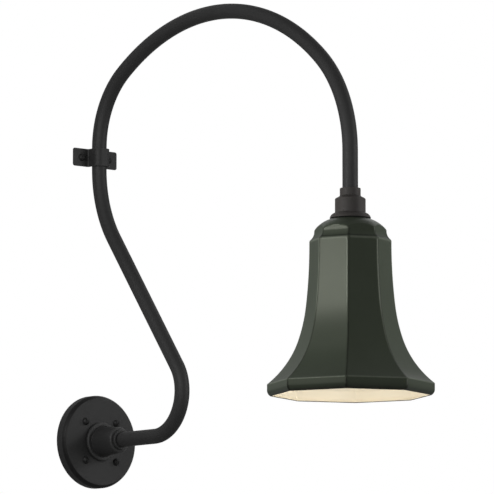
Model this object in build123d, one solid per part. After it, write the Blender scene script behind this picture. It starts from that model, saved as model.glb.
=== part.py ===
from build123d import *
from math import acos, asin, atan, cos, degrees, radians, sin, sqrt, tan
import os

# Gooseneck barn light. Millimetres. The wall is the plane y = 0 and the light stands out of it
# along -Y. X runs along the wall, Z is up, and the origin is the wall plate's centre on the wall.

# Fits between pieces
FIT_GAP = 0.10              # radial play between fixed pieces that slip together
THREAD_GAP = 0.05           # radial play of a screw in its tapped hole
RUNNING_GAP = 0.06          # radial play of the cap turning on the arm's end
SEAT_GAP = 0.30             # rest gap between pieces that move past each other

# Junction box bracket and wall plate
BOX_SCREW_SPACING = 88.9    # screw centres of a round wall box
BOX_SLOT_LENGTH = 12.8
BOX_SLOT_WIDTH = 4.8
BRACKET_EDGE = 2.15         # metal outside each slot
BRACKET_THICKNESS = 2.5
BRACKET_CLEARANCE = 2.0     # between the bracket and the plate's rim
WIRE_HOLE_DIAMETER = 30.0
STANDOFF_DIAMETER = 9.0
PLATE_RIM_WIDTH = 8.5
PLATE_DEPTH = 17.4
PLATE_THICKNESS = 3.0
PLATE_BEVEL_WIDTH = 4.25
PLATE_BEVEL_DEPTH = 6.0
PLATE_BEVEL_BULGE = 0.6
PLATE_LIP_WIDTH = 3.0       # rim metal that hides the gasket
PLATE_LIP_GAP = 0.2         # lip held off the wall by the gasket
WALL_GASKET_THICKNESS = 2.0

# Screws
PLATE_SCREW_GAP = 5.9       # from the hub's bead to a screw head
SCREW_HEAD_DIAMETER = 10.4
SCREW_HEAD_HEIGHT = 4.4
SCREW_DIAMETER = 4.8
SCREW_CLEARANCE = 0.2
SCREW_BITE = 10.0           # thread length in the bracket's standoffs
DRIVE_SLOT_WIDTH = 1.0
DRIVE_SLOT_DEPTH = 1.8
SMALL_SLOT_DEPTH = 0.7      # in the small heads inside
SET_SCREW_DIAMETER = 4.0
SET_SCREW_SOCKET = 2.0      # across the flats of the hexagon socket
SET_SCREW_SOCKET_DEPTH = 1.2
SET_SCREW_RECESS = 0.5      # how far a set screw sits below the surface

# Hub on the wall plate
HUB_BEAD_DIAMETER = 52.8
HUB_BEAD_HEIGHT = 5.2
HUB_BEAD_ROUND = 2.4
HUB_BASE_DIAMETER = 40.4
HUB_LENGTH = 42.5
HUB_END_ROUND = 3.0
HUB_END_LAND = 0.575        # flat ring round the collar
HUB_SHANK_DIAMETER = 25.0
HUB_SHANK_PROUD = 1.0       # shank past the locknut
HUB_WIRE_CLEARANCE = 1.7    # between a lead and the hub's wire hole
HUB_SET_SCREW_INSET = 15.0
LOCKNUT_WALL = 4.5          # shank to a flat of the locknut
LOCKNUT_THICKNESS = 4.0
COLLAR_WALL = 3.375
COLLAR_REVEAL = 4.5
COLLAR_INSERT = 6.0
COLLAR_ROUND = 1.0

# Gooseneck arm
TUBE_DIAMETER = 20.3
TUBE_WALL = 2.275
TUBE_INSERT = 30.0          # length held in the hub
ARM_PROJECTION = 533.4      # wall to the shade's axis
STRAP_HEIGHT = 393.0        # plate centre to strap centre
WALL_GAP = 0.85             # tube to wall at the strap
LOWER_BEND_RADIUS = 58.0
LEAN_ANGLE = 36.4           # lean of the lower run towards the wall
STRAP_BEND_RADIUS = 170.0
STRAP_RUN = 29.0            # straight tube behind the strap
RISE_RADIUS = 118.0
RISE_ANGLE = 55.6
DROP_RADIUS = 176.6
DROP_ANGLE = 47.0
DROP_RUN = 74.0             # straight tube down to the arm's end

# Wall strap
STRAP_LENGTH = 76.0
STRAP_WIDTH = 25.0
STRAP_THICKNESS = 2.0
STRAP_CORNER_ROUND = 3.0
STRAP_BEND_ROUND = 6.0      # outside of the strap's bends over the tube
STRAP_FOOT_ROUND = 2.0
STRAP_SCREW_INSET = 11.175  # screw centre from the strap's leg
STRAP_SCREW_BITE = 14.0     # thread length in the wall
STRAP_SCREW_DIAMETER = 4.2
STRAP_SCREW_NECK = 4.6      # plain neck in the strap

# Shade cap on the arm's end
CAP_TUBE_LENGTH = 25.0      # tube inside the cap
CAP_COLLAR_WALL = 3.3
CAP_COLLAR_HEIGHT = 9.4
CAP_SHOULDER_ANGLE = 60.0
CAP_SHOULDER_COVE = 1.5
CAP_SHOULDER_ROUND = 2.0
CAP_BODY_DIAMETER = 39.7
CAP_BODY_HEIGHT = 17.19
CAP_SKIRT_OVERHANG = 3.69   # skirt past the seat on the gasket
CAP_SKIRT_HEIGHT = 7.0
CAP_SKIRT_BULGE = 1.5
CAP_LIP_WIDTH = 0.9
CAP_LIP_DROP = 0.8
CAP_SEAT_WIDTH = 5.5
SPIGOT_WALL = 2.5
CAP_GASKET_THICKNESS = 1.6
RING_NUT_THICKNESS = 5.0
SPIGOT_PROUD = 1.0

# Octagonal shade, sized from its axis to the middle of a facet
SHADE_SIDES = 8
SHADE_WALL = 1.2
CROWN_MARGIN = 1.24         # flat top past the gasket
DOME_RADIUS = 42.0          # turned dome that rounds off the facets' tops
DOME_START = 15.0           # slope where the dome leaves the flat top
DRUM_OVERHANG = 19.17       # drum's foot past the flat top
DRUM_DROP = 20.24
DRUM_RADIUS = 18.0
DRUM_LEAN = 20.0
COVE_WIDTH = 5.83
COVE_HEIGHT = 9.51
BODY_RUN = 2.9
FLARE_RADII = (757.0, 226.0, 123.3)
FLARE_TURNS = (6.1, 11.2, 32.1)
RIM_BAND_HEIGHT = 8.0
RIM_CURL_WIDTH = 4.0
RIM_CURL_HEIGHT = 7.4

# Lamp socket under the cap
STEM_WALL = 1.5
STEM_INSERT = 25.0
STEM_NUT_WALL = 4.225       # stem to a flat of the nut
STEM_NUT_CLEARANCE = 1.2    # nut's corners to the cap's cavity
STEM_NUT_THICKNESS = 6.0
SOCKET_GAP = 7.73           # spigot's end to the socket cap's top
SOCKET_CAP_WALL = 1.2
SOCKET_CAP_LAP = 6.0        # socket cap over the porcelain's neck
SOCKET_COLLAR_WALL = 2.7
SOCKET_COLLAR_HEIGHT = 6.0
STEM_PROUD = 2.0            # stem past the socket cap's plate
TERMINAL_SPACE = 6.8        # wiring room between socket cap and porcelain
HOLDER_LIP_WIDTH = 1.3
HOLDER_WALL = 4.9
HOLDER_HEIGHT = 36.0
HOLDER_WEB = 4.0            # porcelain between the terminals and the rivet
LAMP_BASE_RADIUS = 13.3     # inside of the lamp's screw shell
SHELL_WALL = 0.45
SHELL_INSET = 1.5
TERMINAL_HEAD_DIAMETER = 7.0
TERMINAL_HEAD_HEIGHT = 2.6
TERMINAL_DIAMETER = 3.2
TERMINAL_LENGTH = 8.0
HOLDER_SCREW_GAP = 0.5      # from the socket cap's collar to a screw head
HOLDER_SCREW_HEAD_DIAMETER = 5.6
HOLDER_SCREW_HEAD_HEIGHT = 2.0
HOLDER_SCREW_DIAMETER = 3.0
HOLDER_SCREW_BITE = 9.0
CONTACT_WIDTH = 5.0
CONTACT_THICKNESS = 0.5
CONTACT_SLOPE = 10.0
CONTACT_REACH = 3.0         # contact tip past the socket's axis
RIVET_HEAD_DIAMETER = 3.6
RIVET_HEAD_HEIGHT = 1.2
RIVET_DIAMETER = 2.4
RIVET_LENGTH = 4.0
RIVET_WALL_GAP = 1.35       # rivet head to the porcelain's bore

# Wiring
LEAD_DIAMETER = 2.4
LEAD_CLEARANCE = 0.5        # between an outer lead and the stem's bore
LEAD_BEND = 6.0
LEAD_ENTRY = 8.0            # lead inside its connector
CONNECTOR_TOP = 22.0        # connector mouth below the hub's axis
CONNECTOR_LENGTH = 18.0
CONNECTOR_SIDE_GAP = 0.375  # from a connector to the arm's plane
CONNECTOR_TAPER = 1.2       # mouth radius over tip radius
CONNECTOR_BORE_DEPTH = 10.0
CONNECTOR_WALL_GAP = 0.2
GROUND_SCREW_HEIGHT = 24.0
GROUND_HEAD_DIAMETER = 8.0
GROUND_HEAD_HEIGHT = 2.5
GROUND_DIAMETER = 4.0
GROUND_LEAD_TAIL = 3.0
LEAD_END_GAP = 0.2

# Radii and levels worked out from the sizes above. Distances from the wall end in _out.
tube_radius = TUBE_DIAMETER / 2
tube_bore = tube_radius - TUBE_WALL
bracket_radius = BOX_SCREW_SPACING / 2 + BOX_SLOT_LENGTH / 2 + BRACKET_EDGE
cavity_radius = bracket_radius + BRACKET_CLEARANCE
plate_radius = cavity_radius + PLATE_RIM_WIDTH
gasket_radius = plate_radius - PLATE_LIP_WIDTH
plate_back_out = PLATE_DEPTH - PLATE_THICKNESS
hub_bead_radius = HUB_BEAD_DIAMETER / 2
hub_shank_radius = HUB_SHANK_DIAMETER / 2
hub_end_out = PLATE_DEPTH + HUB_LENGTH
locknut_back_out = plate_back_out - LOCKNUT_THICKNESS
shank_end_out = locknut_back_out - HUB_SHANK_PROUD
tube_start_out = hub_end_out - TUBE_INSERT
collar_radius = tube_radius + FIT_GAP + COLLAR_WALL
collar_seat_radius = collar_radius + FIT_GAP
hub_base_radius = HUB_BASE_DIAMETER / 2
hub_end_radius = collar_seat_radius + HUB_END_LAND + HUB_END_ROUND
collar_back_out = hub_end_out - COLLAR_INSERT
plate_screw_circle = hub_bead_radius + PLATE_SCREW_GAP + SCREW_HEAD_DIAMETER / 2
plate_screw_angles = (45, 135, 225, 315)
strap_axis_out = WALL_GAP + tube_radius
strap_bore = tube_radius + FIT_GAP
strap_half_width = strap_bore + STRAP_THICKNESS
strap_depth = strap_axis_out + strap_half_width
strap_screw_x = strap_half_width + STRAP_SCREW_INSET
stem_radius = tube_bore - FIT_GAP
stem_bore = stem_radius - STEM_WALL
lead_radius = LEAD_DIAMETER / 2
lead_x = stem_bore - LEAD_CLEARANCE - lead_radius
connector_mouth = lead_x - CONNECTOR_SIDE_GAP
connector_out = BRACKET_THICKNESS + CONNECTOR_WALL_GAP + connector_mouth
ground_lead_out = BRACKET_THICKNESS + GROUND_HEAD_HEIGHT + lead_radius

# Frames. In wall_frame, x runs along the wall, y is up and z points out of the wall.
# In arm_frame, x points out of the wall and y is up.
wall_frame = Plane(origin=(0, 0, 0), x_dir=(1, 0, 0), z_dir=(0, -1, 0))


def arm_frame(across):
    """The upright plane of the arm, moved sideways along the wall."""
    return Plane(origin=(across, 0, 0), x_dir=(0, -1, 0), z_dir=(-1, 0, 0))


def rod(radius, low, high):
    """Round bar along Z."""
    return Pos(0, 0, low) * extrude(Circle(radius), amount=high - low)


def ring(outer, inner, low, high):
    """Round tube along Z."""
    return Pos(0, 0, low) * extrude(Circle(outer) - Circle(inner), amount=high - low)


def turned(edges):
    """Body turned about Z from edges drawn as (radius, height)."""
    return revolve(Plane.XZ * make_face(edges), axis=Axis.Z)


def hexagon_nut(across_flats, bore, low, high):
    """Hexagon nut along Z."""
    outline = RegularPolygon(across_flats / 2, 6, major_radius=False)
    return Pos(0, 0, low) * extrude(outline - Circle(bore), amount=high - low)


def arc_through(start, end, bulge):
    """Arc from start to end that swells to the left of its chord by bulge."""
    a, b = Vector(*start), Vector(*end)
    chord = b - a
    side = Vector(-chord.Y, chord.X).normalized()
    return ThreePointArc(a, (a + b) / 2 + side * bulge, b)


def round_head(radius, height, slot_width, slot_depth):
    """Slotted round screw head that stands on z = 0."""
    ball = (radius**2 + height**2) / (2 * height)
    half_angle = acos(1 - height / ball) / 2
    middle = (ball * sin(half_angle), height - ball + ball * cos(half_angle))
    head = turned([
        Line((0, 0), (radius, 0)),
        ThreePointArc((radius, 0), middle, (0, height)),
        Line((0, height), (0, 0)),
    ])
    slot = extrude(Rectangle(2 * radius, slot_width), amount=slot_depth)
    return head - Pos(0, 0, height - slot_depth) * slot


def set_screw(length):
    """Headless set screw along Z from z = 0, with its hexagon socket at the top."""
    hexagon = RegularPolygon(SET_SCREW_SOCKET / 2, 6, major_radius=False)
    socket = extrude(hexagon, amount=SET_SCREW_SOCKET_DEPTH)
    return rod(SET_SCREW_DIAMETER / 2, 0, length) - Pos(0, 0, length - SET_SCREW_SOCKET_DEPTH) * socket


# Box bracket, gasket and wall plate
def plate_screw_places():
    """Places of the four plate screws in the wall frame."""
    return [Rot(0, 0, angle) * Pos(plate_screw_circle, 0, 0) for angle in plate_screw_angles]


def make_box_bracket():
    """Round bracket on the wall box, with tapped standoffs that carry the wall plate."""
    tapped = SCREW_DIAMETER / 2 + THREAD_GAP
    plate = rod(bracket_radius, 0, BRACKET_THICKNESS) - rod(WIRE_HOLE_DIAMETER / 2, 0, BRACKET_THICKNESS)
    slot = extrude(SlotOverall(BOX_SLOT_LENGTH, BOX_SLOT_WIDTH), amount=BRACKET_THICKNESS)
    for side in (-1, 1):
        plate -= Pos(side * BOX_SCREW_SPACING / 2, 0, 0) * slot
    for place in plate_screw_places():
        plate += place * rod(STANDOFF_DIAMETER / 2, 0, plate_back_out)
        plate -= place * rod(tapped, 0, plate_back_out)
    plate -= Pos(0, GROUND_SCREW_HEIGHT, 0) * rod(GROUND_DIAMETER / 2 + THREAD_GAP, 0, BRACKET_THICKNESS)
    return wall_frame * plate


def make_wall_gasket():
    """Flat gasket ring between the plate's rim and the wall."""
    return wall_frame * ring(gasket_radius - FIT_GAP, cavity_radius, 0, WALL_GASKET_THICKNESS)


def make_wall_plate():
    """Cast round plate with a bevelled edge, dished at the back."""
    hole = hub_shank_radius + FIT_GAP
    face_radius = plate_radius - PLATE_BEVEL_WIDTH
    bevel_out = PLATE_DEPTH - PLATE_BEVEL_DEPTH
    plate = turned([
        Line((hole, plate_back_out), (hole, PLATE_DEPTH)),
        Line((hole, PLATE_DEPTH), (face_radius, PLATE_DEPTH)),
        arc_through((face_radius, PLATE_DEPTH), (plate_radius, bevel_out), PLATE_BEVEL_BULGE),
        Line((plate_radius, bevel_out), (plate_radius, PLATE_LIP_GAP)),
        Line((plate_radius, PLATE_LIP_GAP), (gasket_radius, PLATE_LIP_GAP)),
        Line((gasket_radius, PLATE_LIP_GAP), (gasket_radius, WALL_GASKET_THICKNESS)),
        Line((gasket_radius, WALL_GASKET_THICKNESS), (cavity_radius, WALL_GASKET_THICKNESS)),
        Line((cavity_radius, WALL_GASKET_THICKNESS), (cavity_radius, plate_back_out)),
        Line((cavity_radius, plate_back_out), (hole, plate_back_out)),
    ])
    for place in plate_screw_places():
        plate -= place * rod(SCREW_DIAMETER / 2 + SCREW_CLEARANCE, 0, PLATE_DEPTH)
    return wall_frame * plate


def make_plate_screws():
    """Four round-head screws through the plate into the standoffs."""
    head = round_head(SCREW_HEAD_DIAMETER / 2, SCREW_HEAD_HEIGHT, DRIVE_SLOT_WIDTH, DRIVE_SLOT_DEPTH)
    screw = Pos(0, 0, PLATE_DEPTH) * head
    screw += rod(SCREW_DIAMETER / 2, plate_back_out - SCREW_BITE, PLATE_DEPTH)
    return Compound([wall_frame * (place * screw) for place in plate_screw_places()])


def make_ground_screw():
    """Grounding screw on the bracket."""
    head = round_head(GROUND_HEAD_DIAMETER / 2, GROUND_HEAD_HEIGHT, DRIVE_SLOT_WIDTH, SMALL_SLOT_DEPTH)
    screw = Pos(0, 0, BRACKET_THICKNESS) * head
    screw += rod(GROUND_DIAMETER / 2, 0, BRACKET_THICKNESS)
    return wall_frame * (Pos(0, GROUND_SCREW_HEIGHT, 0) * screw)


# Hub that holds the arm on the plate
def hub_radius_at(out):
    """Radius of the hub's tapered barrel at a distance from the wall."""
    base_out = PLATE_DEPTH + HUB_BEAD_HEIGHT
    share = (out - base_out) / (hub_end_out - base_out)
    return hub_base_radius + (hub_end_radius - hub_base_radius) * share


hub_set_screw_out = hub_end_out - HUB_SET_SCREW_INSET


def hub_set_screw_frame():
    """Frame of the hub's set screw, with z pointing along the wall out of the barrel."""
    return wall_frame * Pos(0, 0, hub_set_screw_out) * Rot(0, 90, 0)


def make_arm_hub():
    """Hub with a bead at its foot, a tapered barrel and a threaded shank through the plate."""
    bore = lead_x + lead_radius + HUB_WIRE_CLEARANCE
    tube_seat = tube_radius + FIT_GAP
    bead_top = PLATE_DEPTH + HUB_BEAD_HEIGHT
    end = hub_end_radius
    bead_side = bead_top - HUB_BEAD_ROUND
    bead_middle = HUB_BEAD_ROUND * (1 - sqrt(0.5))
    end_side = hub_end_out - HUB_END_ROUND
    end_middle = HUB_END_ROUND * (1 - sqrt(0.5))
    hub = turned([
        Line((bore, shank_end_out), (hub_shank_radius, shank_end_out)),
        Line((hub_shank_radius, shank_end_out), (hub_shank_radius, PLATE_DEPTH)),
        Line((hub_shank_radius, PLATE_DEPTH), (hub_bead_radius, PLATE_DEPTH)),
        Line((hub_bead_radius, PLATE_DEPTH), (hub_bead_radius, bead_side)),
        ThreePointArc(
            (hub_bead_radius, bead_side),
            (hub_bead_radius - bead_middle, bead_top - bead_middle),
            (hub_bead_radius - HUB_BEAD_ROUND, bead_top),
        ),
        Line((hub_bead_radius - HUB_BEAD_ROUND, bead_top), (hub_base_radius, bead_top)),
        Line((hub_base_radius, bead_top), (end, end_side)),
        ThreePointArc(
            (end, end_side),
            (end - end_middle, hub_end_out - end_middle),
            (end - HUB_END_ROUND, hub_end_out),
        ),
        Line((end - HUB_END_ROUND, hub_end_out), (collar_seat_radius, hub_end_out)),
        Line((collar_seat_radius, hub_end_out), (collar_seat_radius, collar_back_out)),
        Line((collar_seat_radius, collar_back_out), (tube_seat, collar_back_out)),
        Line((tube_seat, collar_back_out), (tube_seat, tube_start_out)),
        Line((tube_seat, tube_start_out), (bore, tube_start_out)),
        Line((bore, tube_start_out), (bore, shank_end_out)),
    ])
    hub = wall_frame * hub
    hub -= hub_set_screw_frame() * rod(SET_SCREW_DIAMETER / 2 + THREAD_GAP, 0, hub_bead_radius)
    return hub


def make_hub_locknut():
    """Hexagon nut that clamps the hub from inside the plate."""
    bore = hub_shank_radius + THREAD_GAP
    across_flats = 2 * (hub_shank_radius + LOCKNUT_WALL)
    return wall_frame * hexagon_nut(across_flats, bore, locknut_back_out, plate_back_out)


def make_hub_collar():
    """Ring in the hub's mouth round the tube."""
    end_out = hub_end_out + COLLAR_REVEAL
    bore = tube_radius + FIT_GAP
    side = end_out - COLLAR_ROUND
    middle = COLLAR_ROUND * (1 - sqrt(0.5))
    return wall_frame * turned([
        Line((bore, collar_back_out), (collar_radius, collar_back_out)),
        Line((collar_radius, collar_back_out), (collar_radius, side)),
        ThreePointArc(
            (collar_radius, side),
            (collar_radius - middle, end_out - middle),
            (collar_radius - COLLAR_ROUND, end_out),
        ),
        Line((collar_radius - COLLAR_ROUND, end_out), (bore, end_out)),
        Line((bore, end_out), (bore, collar_back_out)),
    ])


def make_hub_set_screw():
    """Set screw from the barrel's side down onto the tube."""
    length = hub_radius_at(hub_set_screw_out) - SET_SCREW_RECESS - tube_radius - FIT_GAP
    return hub_set_screw_frame() * Pos(0, 0, tube_radius + FIT_GAP) * set_screw(length)


# Gooseneck arm. Its centreline is worked out so that the lower run meets the strap
# and the arch meets the shade's axis.
lean = radians(LEAN_ANGLE)
strap_run_foot = STRAP_HEIGHT - STRAP_RUN / 2
lower_rise = strap_run_foot - LOWER_BEND_RADIUS - (LOWER_BEND_RADIUS + STRAP_BEND_RADIUS) * sin(lean)
lower_run = lower_rise / cos(lean)
hub_run_end_out = (
    strap_axis_out
    - LOWER_BEND_RADIUS * cos(lean)
    + lower_run * sin(lean)
    + STRAP_BEND_RADIUS * (1 - cos(lean))
)
rise, drop = radians(RISE_ANGLE), radians(DROP_ANGLE)
rise_width = RISE_RADIUS * (1 - cos(rise))
drop_width = DROP_RADIUS * (1 - cos(drop))
arch_radius = (ARM_PROJECTION - strap_axis_out - rise_width - drop_width) / (cos(rise) + cos(drop))
arch_angle = 180 - RISE_ANGLE - DROP_ANGLE
drop_run_top = (
    strap_run_foot
    + STRAP_RUN
    + RISE_RADIUS * sin(rise)
    + arch_radius * (sin(drop) - sin(rise))
    - DROP_RADIUS * sin(drop)
)
arm_end_z = drop_run_top - DROP_RUN


def arm_line(lead_in, end_z):
    """The arm's centreline from the end of lead_in, which points out of the wall, down to end_z."""
    edges = list(lead_in)

    def straight(length):
        edges.append(Line(edges[-1] @ 1, edges[-1] @ 1 + (edges[-1] % 1) * length))

    def bend(radius, turn):
        edges.append(JernArc(edges[-1] @ 1, edges[-1] % 1, radius, turn))

    straight(hub_run_end_out - (edges[-1] @ 1).X)
    bend(LOWER_BEND_RADIUS, 90 + LEAN_ANGLE)
    straight(lower_run)
    bend(STRAP_BEND_RADIUS, -LEAN_ANGLE)
    straight(STRAP_RUN)
    bend(RISE_RADIUS, -RISE_ANGLE)
    bend(arch_radius, -arch_angle)
    bend(DROP_RADIUS, -DROP_ANGLE)
    straight(drop_run_top - end_z)
    return Wire(edges)


def swept(section, line, across):
    """Section swept along a line in the arm's plane, with its volume compared to section times length."""
    path = arm_frame(across) * line
    body = sweep(Plane(origin=path @ 0, z_dir=path % 0) * section, path=path)
    ratio = body.volume / (section.area * path.length)
    print("swept", round(path.length, 1), "mm, volume ratio", round(ratio, 5))
    return body


def make_gooseneck_arm():
    """Bent steel tube from the hub to the shade."""
    lead_in = [Line((tube_start_out, 0), (hub_end_out, 0))]
    section = Circle(tube_radius) - Circle(tube_bore)
    return swept(section, arm_line(lead_in, arm_end_z), 0)


# Wall strap and its screws
def strap_hoop(half_width, depth, bend_round):
    """Outline of the strap's hoop over the tube, with its two bends rounded."""
    hoop = Pos(0, -depth / 2) * Rectangle(2 * half_width, depth)
    return fillet(hoop.vertices().sort_by(Axis.Y)[:2], bend_round)


def make_wall_strap():
    """Strap bent squarely over the tube, with an ear on each side flat on the wall."""
    ears = Pos(0, -STRAP_THICKNESS / 2) * Rectangle(STRAP_LENGTH, STRAP_THICKNESS)
    section = ears + strap_hoop(strap_half_width, strap_depth, STRAP_BEND_ROUND)
    corners = section.vertices().filter_by(
        lambda v: abs(v.Y + STRAP_THICKNESS) < FIT_GAP and abs(abs(v.X) - strap_half_width) < FIT_GAP
    )
    section = fillet(corners, STRAP_FOOT_ROUND)
    section -= strap_hoop(strap_bore, strap_depth - STRAP_THICKNESS, STRAP_BEND_ROUND - STRAP_THICKNESS)
    strap = Pos(0, 0, STRAP_HEIGHT - STRAP_WIDTH / 2) * extrude(section, amount=STRAP_WIDTH)
    outline = RectangleRounded(STRAP_LENGTH, STRAP_WIDTH, STRAP_CORNER_ROUND)
    strap &= wall_frame * Pos(0, STRAP_HEIGHT, 0) * extrude(outline, amount=strap_depth)
    for place in strap_screw_places():
        strap -= place * rod(STRAP_SCREW_NECK / 2 + SCREW_CLEARANCE, 0, STRAP_THICKNESS)
    return strap


def strap_screw_places():
    """Places of the two strap screws, with z pointing out of the wall."""
    return [wall_frame * Pos(side * strap_screw_x, STRAP_HEIGHT, 0) for side in (-1, 1)]


def make_strap_screws():
    """Two round-head screws through the strap's ears into the wall."""
    head = round_head(SCREW_HEAD_DIAMETER / 2, SCREW_HEAD_HEIGHT, DRIVE_SLOT_WIDTH, DRIVE_SLOT_DEPTH)
    screw = Pos(0, 0, STRAP_THICKNESS) * head
    screw += rod(STRAP_SCREW_NECK / 2, 0, STRAP_THICKNESS)
    screw += rod(STRAP_SCREW_DIAMETER / 2, -STRAP_SCREW_BITE, 0)
    return Compound([place * screw for place in strap_screw_places()])


# Shade cap, gasket, shade and ring nut turn together about the arm's end
shade_axis = Pos(0, -ARM_PROJECTION, 0)
cap_bore = tube_radius + RUNNING_GAP
cap_collar_radius = cap_bore + CAP_COLLAR_WALL
cap_body_radius = CAP_BODY_DIAMETER / 2
cap_top_z = arm_end_z + CAP_TUBE_LENGTH
collar_foot_z = cap_top_z - CAP_COLLAR_HEIGHT
shoulder = radians(CAP_SHOULDER_ANGLE)
shoulder_rounds = CAP_SHOULDER_COVE + CAP_SHOULDER_ROUND
shoulder_width = cap_body_radius - cap_collar_radius
shoulder_slope = (shoulder_width - shoulder_rounds * (1 - cos(shoulder))) / sin(shoulder)
shoulder_foot_z = collar_foot_z - shoulder_rounds * sin(shoulder) - shoulder_slope * cos(shoulder)
skirt_top_z = shoulder_foot_z - CAP_BODY_HEIGHT
skirt_foot_z = skirt_top_z - CAP_SKIRT_HEIGHT
cap_seat_z = skirt_foot_z + CAP_LIP_DROP
shade_top_z = cap_seat_z - CAP_GASKET_THICKNESS
stem_nut_across_flats = 2 * (stem_radius + STEM_NUT_WALL)
stem_nut_corner = stem_nut_across_flats / 2 / cos(radians(30))
cap_cavity_radius = stem_nut_corner + STEM_NUT_CLEARANCE
spigot_radius = cap_cavity_radius + SPIGOT_WALL
cap_seat_radius = spigot_radius + CAP_SEAT_WIDTH
cap_skirt_radius = cap_seat_radius + CAP_SKIRT_OVERHANG
crown_radius = cap_seat_radius + CROWN_MARGIN
spigot_end_z = shade_top_z - SHADE_WALL - RING_NUT_THICKNESS - SPIGOT_PROUD
cap_set_screw_z = cap_top_z - CAP_COLLAR_HEIGHT / 2


def cap_set_screw_frame():
    """Frame of the cap's set screw on the side towards the wall, with z pointing out of the collar."""
    return shade_axis * Pos(0, 0, cap_set_screw_z) * Rot(-90, 0, 0)


def make_shade_cap():
    """Turned cap: collar on the tube, sloped shoulder, barrel, flared skirt and threaded spigot."""
    collar_edge = Line((cap_collar_radius, cap_top_z), (cap_collar_radius, collar_foot_z))
    cove = JernArc(collar_edge @ 1, collar_edge % 1, CAP_SHOULDER_COVE, CAP_SHOULDER_ANGLE)
    slope = Line(cove @ 1, cove @ 1 + (cove % 1) * shoulder_slope)
    round_edge = JernArc(slope @ 1, slope % 1, CAP_SHOULDER_ROUND, -CAP_SHOULDER_ANGLE)
    skirt_start, skirt_end = (cap_body_radius, skirt_top_z), (cap_skirt_radius, skirt_foot_z)
    lip_radius = cap_skirt_radius - CAP_LIP_WIDTH
    ledge_z = arm_end_z + SEAT_GAP
    cap = turned([
        Line((cap_bore, cap_top_z), collar_edge @ 0),
        collar_edge,
        cove,
        slope,
        round_edge,
        Line(round_edge @ 1, skirt_start),
        arc_through(skirt_start, skirt_end, CAP_SKIRT_BULGE),
        Line(skirt_end, (lip_radius, skirt_foot_z)),
        Line((lip_radius, skirt_foot_z), (cap_seat_radius, cap_seat_z)),
        Line((cap_seat_radius, cap_seat_z), (spigot_radius, cap_seat_z)),
        Line((spigot_radius, cap_seat_z), (spigot_radius, spigot_end_z)),
        Line((spigot_radius, spigot_end_z), (cap_cavity_radius, spigot_end_z)),
        Line((cap_cavity_radius, spigot_end_z), (cap_cavity_radius, ledge_z)),
        Line((cap_cavity_radius, ledge_z), (cap_bore, ledge_z)),
        Line((cap_bore, ledge_z), (cap_bore, cap_top_z)),
    ])
    cap = shade_axis * cap
    return cap - cap_set_screw_frame() * rod(SET_SCREW_DIAMETER / 2 + THREAD_GAP, 0, cap_body_radius)


def make_cap_set_screw():
    """Set screw in the cap's collar that locks the shade's turn."""
    tip = tube_radius + SEAT_GAP
    length = cap_collar_radius - SET_SCREW_RECESS - tip
    return cap_set_screw_frame() * Pos(0, 0, tip) * set_screw(length)


def make_cap_gasket():
    """Flat gasket between the cap and the shade's crown."""
    return shade_axis * ring(cap_seat_radius, spigot_radius + FIT_GAP, shade_top_z, cap_seat_z)


def facet_outline():
    """Outline of one facet from the axis, as (distance from the axis, height)."""
    drum_foot = (crown_radius + DRUM_OVERHANG, shade_top_z - DRUM_DROP)
    cove_turn = degrees(2 * atan(COVE_WIDTH / COVE_HEIGHT))
    cove_radius = COVE_HEIGHT / (2 * sin(radians(cove_turn)))
    drum = JernArc(drum_foot, (0, 1), DRUM_RADIUS, DRUM_LEAN)
    drum_run = (shade_top_z - (drum @ 1).Y) / cos(radians(DRUM_LEAN))
    drum_top = drum @ 1 + (drum % 1) * drum_run
    cove = JernArc(drum_foot, (0, -1), cove_radius, cove_turn)
    brow = JernArc(cove @ 1, cove % 1, cove_radius, -cove_turn)
    edges = [Line((0, shade_top_z), drum_top), Line(drum_top, drum @ 1), drum, cove, brow]
    edges.append(Line(brow @ 1, brow @ 1 + (brow % 1) * BODY_RUN))
    for radius, turn in zip(FLARE_RADII, FLARE_TURNS):
        edges.append(JernArc(edges[-1] @ 1, edges[-1] % 1, radius, turn))
    band_top = edges[-1] @ 1
    band = Line(band_top, band_top + Vector(0, -RIM_BAND_HEIGHT))
    curl_radius = (RIM_CURL_WIDTH**2 + RIM_CURL_HEIGHT**2) / (2 * RIM_CURL_WIDTH)
    curl_turn = degrees(2 * atan(RIM_CURL_WIDTH / RIM_CURL_HEIGHT))
    curl = JernArc(band @ 1, (0, -1), curl_radius, -curl_turn)
    rim_foot = curl @ 1
    edges += [band, curl, Line(rim_foot, (0, rim_foot.Y)), Line((0, rim_foot.Y), (0, shade_top_z))]
    return make_face(edges), rim_foot.Y


def dome_outline(inset, reach, foot_z):
    """Outline of the turned dome, moved in by inset, down to the drum's foot and open to reach below it."""
    start = radians(DOME_START)
    centre = Vector(crown_radius - DOME_RADIUS * sin(start), shade_top_z - DOME_RADIUS * cos(start))
    radius = DOME_RADIUS - inset
    top_z = shade_top_z - inset
    ledge_z = top_z - DRUM_DROP
    top_angle = degrees(asin((top_z - centre.Y) / radius))
    ledge_angle = degrees(asin((ledge_z - centre.Y) / radius))
    dome = CenterArc(centre, radius, top_angle, ledge_angle - top_angle)
    return make_face([
        Line((0, top_z), dome @ 0),
        dome,
        Line(dome @ 1, (reach, ledge_z)),
        Line((reach, ledge_z), (reach, foot_z)),
        Line((reach, foot_z), (0, foot_z)),
        Line((0, foot_z), (0, top_z)),
    ])


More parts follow.
